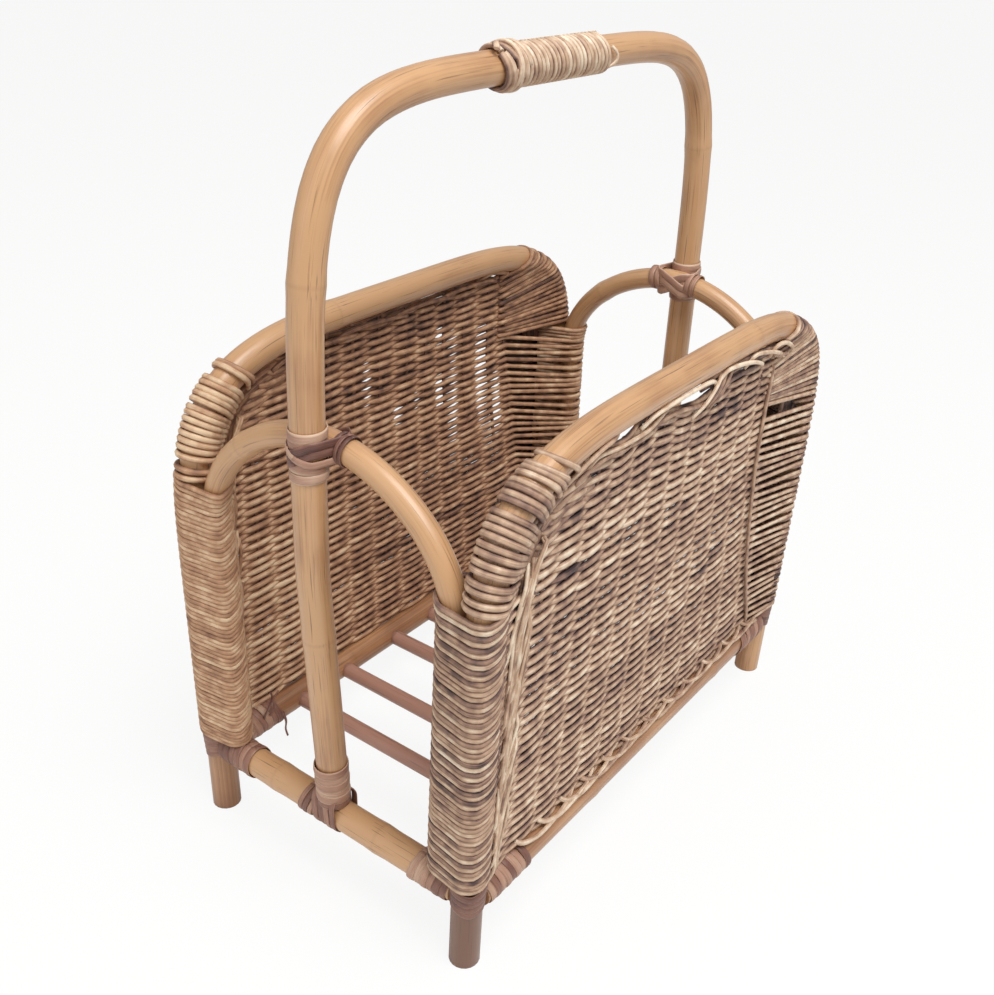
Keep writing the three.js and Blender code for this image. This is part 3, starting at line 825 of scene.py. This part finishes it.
def weaverSnake(panel):
    # one long line up the whole panel, row after row, with the places where it may be cut
    random.seed(panel["seed"])
    snake, cuts = [], []
    for row in range(panel["rows"]):
        line, hidden = rowLine(panel, row)
        height = panel["firstRow"] + panel["pitch"] * row
        end = 1 if row % 2 == 0 else -1
        if end < 0:
            hidden = [len(line) - 1 - k for k in hidden]
            line.reverse()
        cuts += [len(snake) + k for k in hidden[2:-2]]
        snake += line
        if row == panel["rows"] - 1:
            break
        nextHeight = height + panel["pitch"]
        outward = rowStakes(panel, row)[1][-1 if end > 0 else 0][1] > 0
        if nextHeight < (basket["bundleTop"] - 1.5 if end < 0 else panel["farTop"]):
            turn = bundleHairpin(panel, end, *((nextHeight, height) if outward
                                               else (height, nextHeight)))
            snake += turn[::-1] if outward else turn
        else:
            out = weave["amplitude"] if outward else -weave["amplitude"]
            snake += stakeHairpin(panel, end, (line[-1].x, line[-1].z), out)
    return snake, cuts


def patchToneAt(panel, point):
    # darker and paler patches of tone, listed per panel, broken up from row to row
    mottle = noise.noise(Vector((point.x * 0.03, point.z * 0.2, panel["seed"])))
    dark = 0.12 * mottle
    for x, height, halfX, halfHeight, depth in panel["tonePatches"]:
        dark += depth * (0.8 + mottle) * math.exp(-((point.x - x) / halfX) ** 2
                                                  - ((point.z - height) / halfHeight) ** 2)
    return dark


def halfHeightAt(panel, point):
    # strands press flat where two rows cross, bulge in front of a stake, and thin beside a hole
    out = abs(outOf(point))
    if out > weave["amplitude"] + 0.6:
        return weave["loopRadius"] / weave["flatShare"]
    half = panel["pitch"] / 2 + weave["fullness"] * out / weave["amplitude"]
    thin = max([0.0] + holesNear(panel, point.x, point.z))
    return half / weave["flatShare"] * (1 - weave["thinning"] * thin)


def liningAt(panel, point):
    # painted shade: how dark the side of a strand is that faces the middle of the weave, where the
    # rows shade each other, signed by where it lies
    share = outOf(point) / weave["amplitude"]
    depth = panel["liningTone"]
    # deeper painted shade in the open strip by the far post, where its gaps look dark
    if point.x > stakeX(panel, 12, point.z) + 4:
        depth += 0.45
    return panel["side"] * depth * min(1.0, max(-1.0, share))


def weaverStrands(panel):
    snake, cuts = weaverSnake(panel)
    random.seed(panel["seed"] + 1)
    pieces, start = [], 0
    while start < len(snake) - 1:
        wanted = start + random.randint(*weave["joins"])
        end = min([cut for cut in cuts if cut > wanted] + [len(snake) - 1])
        points = resample(snake[start:end + 1], weave["spacing"])
        base = panel["tone"] + random.gauss(0, weave["toneSpread"])
        size = random.uniform(0.96, 1.04)
        wide = [halfHeightAt(panel, point) * size * (1 + sway(k * 0.05, start, 0.07))
                for k, point in enumerate(points)]
        # each spot also carries painted shade for the strand's side that faces the weave's middle
        pieces.append(strandOf(points, upright, wide, weave["halfDepth"] * size,
                               [base + patchToneAt(panel, point) for point in points],
                               lining=[liningAt(panel, point) for point in points]))
        start = end
    return pieces


def stakeStrands(panel):
    random.seed(panel["seed"] + 2)
    strands = []
    top = panel["firstRow"] + panel["pitch"] * (panel["rows"] - 1)
    for index in range(13):
        line = []
        for k in range(30):
            height = lerp(61.0, top + 2, k / 29)
            x = stakeX(panel, index, height)
            if index and stakeX(panel, 0, height) > x - 3:
                break
            line.append(panelSpot(panel, x, 0, height + rowShift(panel, 0, x, height)))
        strands.append(strandOf(smoothLine(line, 4.0), alongX,
                                weave["stakeHalfWidth"] * random.uniform(0.85, 1.0),
                                weave["stakeHalfDepth"],
                                panel["tone"] + weave["stakeTone"] + random.gauss(0, 0.08)))
    return strands


def topStrands(panel):
    # the stakes' upper ends, bent over and laid along under the hoop
    random.seed(panel["seed"] + 5)
    return [strandOf(smoothLine([panelSpot(panel, *spot) for spot in spots], 3.0), upright, half,
                     weave["endHalfDepth"], tone + random.gauss(0, 0.05))
            for spots, half, tone in panel["border"]]


def liningStrands(panel):
    # strands on the far face of the open strip by the far post, between the weaver's rows, darkened
    # with painted shade where they show through the gaps
    random.seed(panel["seed"] + 6)
    strands = []
    firstRow, angles = (1, (10, 180)) if panel["side"] > 0 else (0, (-180, -10))
    for row in range(firstRow, panel["rows"], 2):
        height = panel["firstRow"] + panel["pitch"] * row
        atPost = postHeight(1, height)
        if atPost < basket["bundleBottom"] + 2 or height > panel["farTop"] + 5:
            continue
        stake = stakeX(panel, 12, height)
        atStake = height + rowShift(panel, row, stake, height)
        circles = bundleCircles(atPost, weave["loopRadius"] + 0.2) + [(stake, 0, 1.3)]
        line = []
        for x, out in tightBand(circles, *angles, 30):
            share = min(1.0, max(0.0, (x - stake) / (basket["postX"] - stake)))
            line.append(panelSpot(panel, x, out, lerp(atStake, atPost, share)))
        # a darker tone and painted shade on the inner side, for the shade in the strip's gaps
        strands.append(strandOf(resample(line, weave["spacing"]), upright,
                                weave["liningHalfWidth"], weave["endHalfDepth"],
                                0.42 + random.gauss(0, 0.08), lining=0.75))
    return strands


def borderStrands(panel):
    # the stakes' lower ends, laid along the side rail's shoulder over one another
    random.seed(panel["seed"] + 3)
    strands = []
    for index in range(1, 13):
        x = stakeX(panel, index, 62) - 8
        lift = random.uniform(-1, 1)
        line = [panelSpot(panel, x + step, out, height + lift * (1 if 10 < step < 60 else 0))
                for step, out, height in ((0, 1.0, 68), (6, 4.2, 64.0), (20, 5.6, 61.2),
                                          (38, 5.4, 61.8), (54, 4.0, 63.5), (64, 1.2, 66.5))
                if x + step < 176]
        strands.append(strandOf(smoothLine(line, 3.0), upright,
                                weave["borderHalfWidth"] * random.uniform(0.9, 1.1),
                                weave["endHalfDepth"], panel["tone"] + random.gauss(0, 0.1)))
    return strands


def makePanels():
    for name, panel in panels.items():
        makePiece(f"{name}Weaving", weaverStrands(panel) + liningStrands(panel), weave["sides"],
                  panel["reed"], f"weave_{name}")
        stakes = stakeStrands(panel) + topStrands(panel) + borderStrands(panel)
        makePiece(f"{name}Stakes", stakes, weave["stakeSides"], panel["reed"],
                  f"weave_{name}")


makePanels()
print("panels woven")

# Strands wound tight round the posts and the hoop corners, between the turns of the weaver
wraps = {
    "radius": 1.62,
    "halfWidth": 1.85,
    "cornerHalfWidth": 2.15,
    "sides": 6,
    "spacing": 2.6,
    "farTurns": [(0, 91, 20)],
    "farTone": 0.44,
    # the length of pole that the lists of ends are spread over
    "turnsLength": 89,
    # where the turns round the hoop's corner go in, from the bundle's top to the last turn
    "nearEnds": [(0, -179, 257), (0.1, -176, 264), (0.25, -171, 273), (0.45, -164, 285),
                 (0.6, -156, 295), (0.75, -147, 302), (0.88, -136, 309), (1, -125, 314)],
    "farEnds": [(0, 121, 264), (1, 121, 314)],
    # the far ones start that much higher as a panel's farTop is over this
    "farTop": 262,
    # the inmost of the strands under the turns, and the next ones' distance from it
    "fillInset": 11.2,
    "fillPitch": 2.9,
    "fillCount": 10,
    "fillHalfWidth": 1.4,
    "fillHalfDepth": 2.2,
    # how far below the corner's first spot they start
    "fillDrop": 14,
    # the band of pale strands laid up the panel's near edge, as (height, x) of its two sides
    "edgeFirst": [(66, -190), (209, -187), (235, -186), (251, -182), (265, -176), (278, -168),
                  (292, -158), (302, -148), (310, -136)],
    "edgeLast": [(66, -172), (197, -161), (244, -161), (259, -160), (272, -157), (287, -151),
                 (296, -144), (304, -135), (309, -127)],
    # how far they stand off the mid plane on the outer and the inner face, by distance along x
    "edgeOut": [(162, 4.6), (178, 4.9), (184, 6.4), (188, 8.8)],
    "edgeIn": [(162, 4.6), (176, 5.0), (179, 6.5), (182, 10.0), (186, 16.0), (190, 20.0)],
    "edgeRadius": 1.25,
    "edgeCount": 36,
}


def bundleStrands(panel, end):
    random.seed(panel["seed"] + 40 + end)
    strands = []
    first, last, steps = -182, 176, 48
    for row in range(panel["rows"]):
        # the weaver's turn rises from this row to the next, and this strand fills the gap above
        nextHeight = panel["firstRow"] + panel["pitch"] * (row + 1)
        if row % 2 == (0 if end < 0 else 1) and (end < 0 or nextHeight < panel["farTop"]):
            continue
        height = postHeight(end, nextHeight)
        if not basket["bundleBottom"] + 0.8 < height < basket["bundleTop"] - 2:
            continue
        circles = bundleCircles(height, wraps["radius"] + 0.2)
        circles.append((halfAt(panelShape, height) - 18, 0, wraps["radius"]))
        line = []
        for k, (x, out) in enumerate(tightBand(circles, first, last, steps)):
            # near strands dip on the post and sweep up towards the panel on both of its faces
            rise = sweepAt(panel, lerp(first, last, k / steps), height) if end < 0 else 0
            line.append(panelSpot(panel, end * x, out, height + panel["pitch"] * k / steps + rise
                                  + sway(k * 0.08, row + end * 50, 0.5)))
        strands.append(strandOf(resample(line, wraps["spacing"]), upright,
                                wraps["halfWidth"] * random.uniform(0.92, 1.02), wraps["radius"],
                                panel["bundleTone"] + random.gauss(0, 0.1)))
    return strands


def cornerStrands(panel, end):
    random.seed(panel["seed"] + 80 + end)
    strands = []
    halfWidth = wraps["cornerHalfWidth" if end < 0 else "halfWidth"]
    tone = panel["cornerTone"] if end < 0 else wraps["farTone"]
    ends = wraps["nearEnds" if end < 0 else "farEnds"]
    for start, stop, count in panel["nearTurns"] if end < 0 else wraps["farTurns"]:
        for k in range(count):
            distance = lerp(start, stop, k / max(1, count - 1)) + random.uniform(-0.3, 0.3)
            poleX, poleHeight = cornerSpot(end, distance)
            share = min(1.0, distance / wraps["turnsLength"])
            x, height = (along([(spot[0], spot[axis]) for spot in ends], share)
                         for axis in (1, 2))
            if end > 0:
                x += 4 if k % 2 else -3
                height += (1 - share) * (panel["farTop"] - wraps["farTop"])
            toSpot = Vector((x - poleX, height - poleHeight))
            toward = toSpot.normalized()
            circles = [(0, -basket["weaveY"], basket["poleRadius"] + wraps["radius"] + 0.2),
                       (toSpot.length, 0, weave["stakeHalfDepth"] + wraps["radius"])]
            line = [panelSpot(panel, poleX + toward.x * flat, out, poleHeight + toward.y * flat)
                    for flat, out in tightBand(circles, 5, 357, 40)]
            strands.append(strandOf(resample(line, wraps["spacing"]),
                                    Vector((-toward.y, 0, toward.x)),
                                    halfWidth * random.uniform(0.94, 1.03), wraps["radius"],
                                    tone + random.gauss(0, 0.1)))
    return strands


def cornerFill(panel, end):
    # strands laid along inside the hoop's corner, which the turns go over
    random.seed(panel["seed"] + 120 + end)
    strands = []
    for k in range(wraps["fillCount"]):
        inset = wraps["fillInset"] + wraps["fillPitch"] * k
        line = []
        for j in range(18):
            distance = 6.5 * j + 1.5 * k
            x, height = cornerSpot(end, distance)
            nextX, nextHeight = cornerSpot(end, distance + 3)
            ahead = Vector((nextX - x, nextHeight - height)).normalized()
            spot = Vector((x, height)) + Vector((-ahead.y, ahead.x)) * end * inset
            if abs(spot.x) < 100:
                break
            if not line:
                line.append(panelSpot(panel, spot.x, 0, spot.y - wraps["fillDrop"]))
            line.append(panelSpot(panel, spot.x, 0.5 if k % 2 else -0.5, spot.y))
        if len(line) > 3:
            strands.append(strandOf(resample(line, wraps["spacing"]), alongY,
                                    wraps["fillHalfWidth"], wraps["fillHalfDepth"],
                                    (0.5 if end < 0 else 0.75) + random.gauss(0, 0.08)))
    return strands


def edgeStrands(panel):
    # thin strands that sweep up the near edge, outside and inside, over the weaver's turns
    random.seed(panel["seed"] + 90)
    strands = []
    for face, profile in ((1, "edgeOut"), (-1, "edgeIn")):
        for index in range(wraps["edgeCount"]):
            start = lerp(62, 225, index / (wraps["edgeCount"] - 1)) + random.uniform(-4, 4)
            length = random.uniform(45, 95)
            fromShare, toShare = random.uniform(-0.05, 0.5), random.uniform(0.4, 1.0)
            line = []
            for k in range(16):
                height = min(285, max(66, start + length * k / 15))
                x = lerp(along(wraps["edgeFirst"], height), along(wraps["edgeLast"], height),
                         lerp(fromShare, toShare, k / 15))
                x += sway(height * 0.03, index + face, 1.2)
                out = along(wraps[profile if height < 258 else "edgeOut"], abs(x))
                out += sway(height * 0.05, index, 0.6) + (0.8 if index % 2 else 0)
                out -= 3.4 * max(0.0, abs(2 * k / 15 - 1) - 0.75) / 0.25
                line.append(panelSpot(panel, x, face * out, height))
            strands.append(strandOf(smoothLine(line, 4.0), alongX,
                                    wraps["edgeRadius"] * random.uniform(0.85, 1.15), 1.1,
                                    0.3 + random.gauss(0, 0.13)))
    return strands


def makeWraps():
    for corner, end, side in corners:
        panel = panels["front" if side < 0 else "back"]
        label = corner.title().replace("_", "")
        turns = bundleStrands(panel, end) + (edgeStrands(panel) if end < 0 else [])
        makePiece(f"postWrap{label}", turns, wraps["sides"], panel["reed"],
                  f"bundle_wrap_{corner}")
        makePiece(f"hoopWrap{label}", cornerStrands(panel, end) + cornerFill(panel, end),
                  wraps["sides"], panel["reed"], f"pole_wrap_{corner}")


makeWraps()
print("posts wrapped")

# Flat bindings over the joints
binding = {
    "halfThickness": 0.5,
    "clearance": 0.2,
    "sides": 8,
    "spacing": 2.6,
    # turns beside a post: the post's middle, the first turn's distance from it, and the next
    # ones' distances along the end rail and the side rail
    "cornerX": 195.3,
    "cornerFirst": 11.8,
    "endStep": 4.9,
    "sideStep": 5.0,
    "cornerHalfWidth": 2.7,
    # how much farther out every other turn lies
    "cornerLift": 0.3,
    "footLift": 0.25,
    # turns at the handle's foot, as (first, step): up the leg, along the rail, and the slings
    "legTurns": (67.5, 5.3),
    "railTurns": (13.0, 4.2),
    "slings": (-7.5, 5.0),
    # where the leg and the arch cross
    "lashLegX": 206.1,
    "lashArchX": 192.6,
    "crossHeight": 316.5,
    "archTopHeight": 317.4,
}
reachOf = {name: basket[f"{name}Radius"] + binding["clearance"] + binding["halfThickness"]
           for name in ("pole", "arch")}


def stripLoop(centre, axis, first, circles, tilt, tone, halfWidth):
    # a flat strip pulled round circles in the plane across an axis, tilted a little along it
    second = axis.cross(first)
    line = [Vector(centre) + first * a + second * b + axis * (tilt * (a / 10))
            for a, b in tightBand(circles, 0, 362, 44)]
    return strandOf(resample(line, binding["spacing"]), axis, halfWidth,
                    binding["halfThickness"], tone)


def cornerBinding(end, side):
    random.seed(300 + end * 7 + side * 3)
    strands = []
    reach = reachOf["pole"]
    x, y = end * binding["cornerX"], side * panelY(52)
    endTones = [0.62, 0.5, 0.34, 0.2, 0.12, 0.2] if side < 0 else [0.62, 0.7, 0.5, 0.55, 0.4, 0.5]
    for k, tone in enumerate(endTones):
        # round the end rail beside the post
        spot = (x, y - side * (binding["cornerFirst"] + binding["endStep"] * k),
                basket["endRailHeight"])
        strands.append(stripLoop(spot, -side * alongY, upright,
                                 [(0, 0, reach + binding["cornerLift"] * (k % 2))],
                                 random.uniform(-2.4, -0.8), tone + random.gauss(0, 0.05),
                                 binding["cornerHalfWidth"]))
    for k in range(8):
        # round the side rail
        spot = (x - end * (binding["cornerFirst"] + binding["sideStep"] * k),
                side * basket["sideRailY"], basket["sideRailHeight"])
        strands.append(stripLoop(spot, -end * alongX, upright,
                                 [(0, 0, reach + binding["cornerLift"] * (k % 2))],
                                 random.uniform(-3.0, -1.0),
                                 (0.42, 0.62, 0.3)[k % 3] + random.gauss(0, 0.08),
                                 binding["cornerHalfWidth"]))
    for k in range(4):
        # a shallow V under the post's strands, from one rail's turns to the other's
        line = []
        for j in range(25):
            angle = math.radians(lerp(-104, 104, j / 24))
            outward = Vector((end * math.cos(angle - math.pi / 4),
                              side * math.cos(angle + math.pi / 4), 0))
            height = 46.5 + 4.6 * k + 5.5 * abs(j - 12) / 12
            line.append(Vector((x, y, height)) + outward * (reach + 0.35 * k))
        strands.append(strandOf(resample(line, 2.5), upright, 2.9, binding["halfThickness"],
                                0.62 + random.gauss(0, 0.08)))
    if end < 0 and side > 0:
        # a strand's end hangs from the back rail's turns, and two stick up at their knot
        for spots in (((-146, 99.6, 52), (-144.5, 98.4, 44), (-145, 98.8, 37), (-144, 98, 30.5)),
                      ((-158, 100, 57), (-154, 99, 63), (-155.5, 98, 70), (-151, 97.5, 76)),
                      ((-163, 100, 58), (-160, 98.4, 66), (-156, 99, 71), (-157.5, 98, 78))):
            strands.append(strandOf(smoothLine([Vector(spot) for spot in spots], 2.0), alongX,
                                    [1.3, 1.25, 1.2, 1.1, 1.0, 0.9] + [0.8] * 30,
                                    binding["halfThickness"], 0.6))
    return strands


def footBinding(end):
    random.seed(340 + end)
    strands = []
    reach, lift = reachOf["pole"], binding["footLift"]
    x, railHeight = end * basket["postX"], basket["endRailHeight"]
    for k, tone in enumerate((0.5, 0.3, 0.2, 0.32, 0.24, 0.36)):
        # round the handle's leg
        first, step = binding["legTurns"]
        height = first + step * k
        strands.append(stripLoop((end * halfAt(handleShape, height), 0, height), upright, alongX,
                                 [(0, 0, reach + lift * (k % 2))], random.uniform(-0.9, 0.9),
                                 tone + random.gauss(0, 0.04), 3.2))
    for k, tone in enumerate((0.3, 0.62, 0.4)):
        # round the rail, on the leg's side towards the back panel
        first, step = binding["railTurns"]
        strands.append(stripLoop((x, first + step * k, railHeight), alongY, upright,
                                 [(0, 0, reach + lift * (k % 2))], random.uniform(-3.4, -2.2),
                                 tone, 2.0))
    for k, tone in enumerate((0.55, 0.4, 0.62, 0.5)):
        # slings from the leg's turns under the rail and back
        first, step = binding["slings"]
        circles = [(0, 0, reach + lift * (k % 2)), (10.0, 0, reach + 0.2)]
        strands.append(stripLoop((x, first + step * k, railHeight), alongY, upright, circles,
                                 random.uniform(0.3, 1.4), tone, 2.5))
    return strands


def lashing(end):
    random.seed(360 + end)
    strands = []
    leg, arch = end * binding["lashLegX"], end * binding["lashArchX"]
    reach, archReach = reachOf["pole"], reachOf["arch"]
    for height, half, tone, tilt in ((327.5, 3.6, 0.3, 0.5), (322.5, 3.0, 0.42, -0.4),
                                     (309.5, 3.6, 0.34, -0.7), (304.0, 3.0, 0.26, 0.5)):
        # turns round the leg, above and below the arch
        strands.append(stripLoop((leg, 0, height), upright, alongX, [(0, 0, reach)], tilt, tone,
                                 half))
    # crossings of the leg and the arch: dark ones at the near end, broad pale ones at the far end
    crossings = (((-2.6, -0.52, 0.72, 2.7), (2.2, -0.52, 0.8, 2.7), (0.0, 0.4, 0.3, 2.2))
                 if end < 0 else
                 ((-2.2, -0.5, 0.3, 3.3), (2.8, -0.5, 0.4, 3.3), (-1.8, 0.5, 0.26, 3.4),
                  (3.2, 0.5, 0.36, 3.0)))
    for k, (lift, slope, tone, half) in enumerate(crossings):
        circles = [(0, 0, reach + 0.55 + 0.3 * k)]
        circles += [(-13.6, y, archReach - 0.5 + 0.3 * k) for y in (6.5, -6.5)]
        loop = stripLoop((leg, 0, binding["crossHeight"] + lift), upright, end * alongX, circles,
                         0, tone, half)
        for point in loop["points"]:
            point.z += slope * max(-9.0, min(9.0, point.y))
        strands.append(loop)
    for side, count, first, step, half, tone in (
            ((1, 2, 13.5, 5.0, 2.3, 0.08), (-1, 3, 11.4, 2.9, 1.4, 0.72)) if end < 0 else
            ((1, 2, 13.0, 5.0, 2.4, 0.28), (-1, 2, 13.0, 4.6, 2.2, 0.34))):
        # turns round the arch on both sides of the leg
        for k in range(count):
            spot = (arch, side * (first + step * k), binding["archTopHeight"] - 0.5 * k)
            strands.append(stripLoop(spot, alongY, upright, [(0, 0, archReach + 0.2)],
                                     1.2 * side, tone + random.gauss(0, 0.04), half))
    return strands


def makeBindings():
    for corner, end, side in corners:
        makePiece("cornerBinding" + corner.title().replace("_", ""), cornerBinding(end, side),
                  binding["sides"], peel, f"corner_binding_{corner}")
    for name, end in (("left", -1), ("right", 1)):
        makePiece(f"footBinding{name.title()}", footBinding(end), binding["sides"], peel,
                  f"foot_binding_{name}")
        makePiece(f"lashing{name.title()}", lashing(end), binding["sides"], peel,
                  f"lashing_{name}")


makeBindings()
print("bindings tied")

# The grip's winding on top of the handle
grip = {
    "from": -40.0,
    "to": 52.0,
    "pitch": 3.9,
    "halfWidth": 2.0,
    "halfDepth": 1.4,
    "clearance": 0.2,
    "lean": 2.4,
    "stepAngle": 12.86,
    "sides": 8,
}


def handleTop(x):
    share, power = abs(x) / handleShape["shoulderHalf"], handleShape["roundness"]
    return lerp(handleShape["shoulderHeight"], handleShape["topHeight"],
                (1 - share ** power) ** (1 / power))


def gripTurn(x, angle, reach):
    # a spot beside the handle's top pole, with angle 0 above it and 90 towards the front
    turn = math.radians(angle)
    return Vector((x, -reach * math.sin(turn), handleTop(x) + reach * math.cos(turn)))


def makeGrip():
    random.seed(400)
    strands = []
    reach = basket["poleRadius"] + grip["clearance"] + grip["halfDepth"]
    for k in range(int((grip["to"] - grip["from"]) / grip["pitch"])):
        start = grip["from"] + grip["pitch"] * k + random.uniform(-0.3, 0.3)
        line = []
        for j in range(29):
            # each turn leans: its underside is farther along than its top
            angle = grip["stepAngle"] * j
            lean = -grip["lean"] * math.cos(math.radians(angle))
            x = start + grip["pitch"] * j / 28 + lean + sway(j * 0.15, k, 0.5)
            line.append(gripTurn(x, angle, reach))
        strands.append(strandOf(line, alongX, grip["halfWidth"] * random.uniform(0.86, 1.04),
                                grip["halfDepth"], 0.23 + random.gauss(0, 0.07)))
    # thicker strands cross over each other at the near end
    for start, stop, lift, half, tone, first in (
            (-57, -47, 0.2, 2.9, 0.42, 40), (-54, -40, 1.6, 2.6, 0.28, 40),
            (-44, -55, 1.4, 2.4, 0.2, 10), (-46, -36, 2.4, 2.2, 0.18, 60),
            (-50, -42, 0.3, 2.8, 0.35, 90), (-40, -47, 2.0, 2.0, 0.12, 150),
            (-43, -38, 0.6, 2.2, 0.25, 200)):
        line = [gripTurn(lerp(start, stop, j / 32) - 2 * math.cos(math.radians(12 * j + first)),
                         12 * j + first, reach + lift * math.sin(math.pi * j / 32))
                for j in range(33)]
        strands.append(strandOf(line, alongX, half, grip["halfDepth"], tone))
    # a loose tip curls off at the near end, and the last turn is tucked under at the far end
    for spots, half, tone in (
            (((-52, -40, 1.4), (-55, 0, 2.0), (-60, 20, 2.8), (-63, 34, 2.4)), 1.9, 0.3),
            (((50, 66, 0.2), (53.5, 84, 1.2), (54.2, 104, 1.6), (51, 120, 1.2), (48, 132, 0.2)),
             1.2, 0.16)):
        line = [gripTurn(x, angle, reach + lift) for x, angle, lift in spots]
        strands.append(strandOf(smoothLine(line, 2.0), Vector((1, 0, 0.3)), half, 1.0, tone))
    makePiece("gripWinding", strands, grip["sides"], reed, "grip_wrap")


makeGrip()
print("grip wound")

# A pale studio: a soft lamp overhead and in front, a weaker one at the near end, and a pale room
studio = {
    "floorColour": "#F4F3F1",
    "floorSize": 40.0,
    "floorGlow": 0.88,
    "floorHeight": -0.0002,
    "aim": (0, 0, 0.22),
    "roomColour": "#FFFDFA",
    "roomStrength": 0.46,
    "keyPower": 34.0,
    "keyPlace": (-0.25, -0.75, 2.0),
    "keySize": 1.1,
    "fillPower": 7.0,
    "fillPlace": (-1.9, 0.4, 1.1),
    "fillSize": 1.6,
}


def addLamp(name, power, place, size):
    lamp = bpy.data.lights.new(name, "AREA")
    lamp.energy = power
    lamp.size = size
    holder = bpy.data.objects.new(name, lamp)
    aim = (Vector(studio["aim"]) - Vector(place)).to_track_quat("-Z", "Y")
    holder.matrix_world = Matrix.Translation(place) @ aim.to_matrix().to_4x4()
    scene.collection.objects.link(holder)


def makeStudio():
    material, tree = newMaterial("studioFloor")
    matt = addNode(tree, "BsdfPrincipled",
                   {"Base Color": tint(studio["floorColour"]), "Roughness": 0.9})
    glow = addNode(tree, "Emission", {"Color": (1, 1, 1, 1), "Strength": 1.0})
    part = addMath(tree, "MULTIPLY", addNode(tree, "LightPath"), studio["floorGlow"])
    blend = addNode(tree, "MixShader", {0: part, 1: matt, 2: glow})
    addNode(tree, "OutputMaterial", {"Surface": blend})
    bm = bmesh.new()
    bmesh.ops.create_grid(bm, x_segments=1, y_segments=1, size=studio["floorSize"] / 2)
    bmesh.ops.translate(bm, vec=(0, 0, studio["floorHeight"]), verts=bm.verts)
    mesh = bpy.data.meshes.new("studioFloor")
    bm.to_mesh(mesh)
    bm.free()
    mesh.materials.append(material)
    floor = bpy.data.objects.new("studioFloor", mesh)
    scene.collection.objects.link(floor)

    room = bpy.data.worlds.new("studioRoom")
    scene.world = room
    room.use_nodes = True
    tree = room.node_tree
    tree.nodes.clear()
    strength = addRange(tree, addNode(tree, "LightPath"), (0.0, 1.0),
                        (studio["roomStrength"], 1.0))
    air = addNode(tree, "Background", {"Color": tint(studio["roomColour"]), "Strength": strength})
    addNode(tree, "OutputWorld", {"Surface": air})
    addLamp("keyLamp", studio["keyPower"], studio["keyPlace"], studio["keySize"])
    addLamp("fillLamp", studio["fillPower"], studio["fillPlace"], studio["fillSize"])


makeStudio()
print("studio lit")
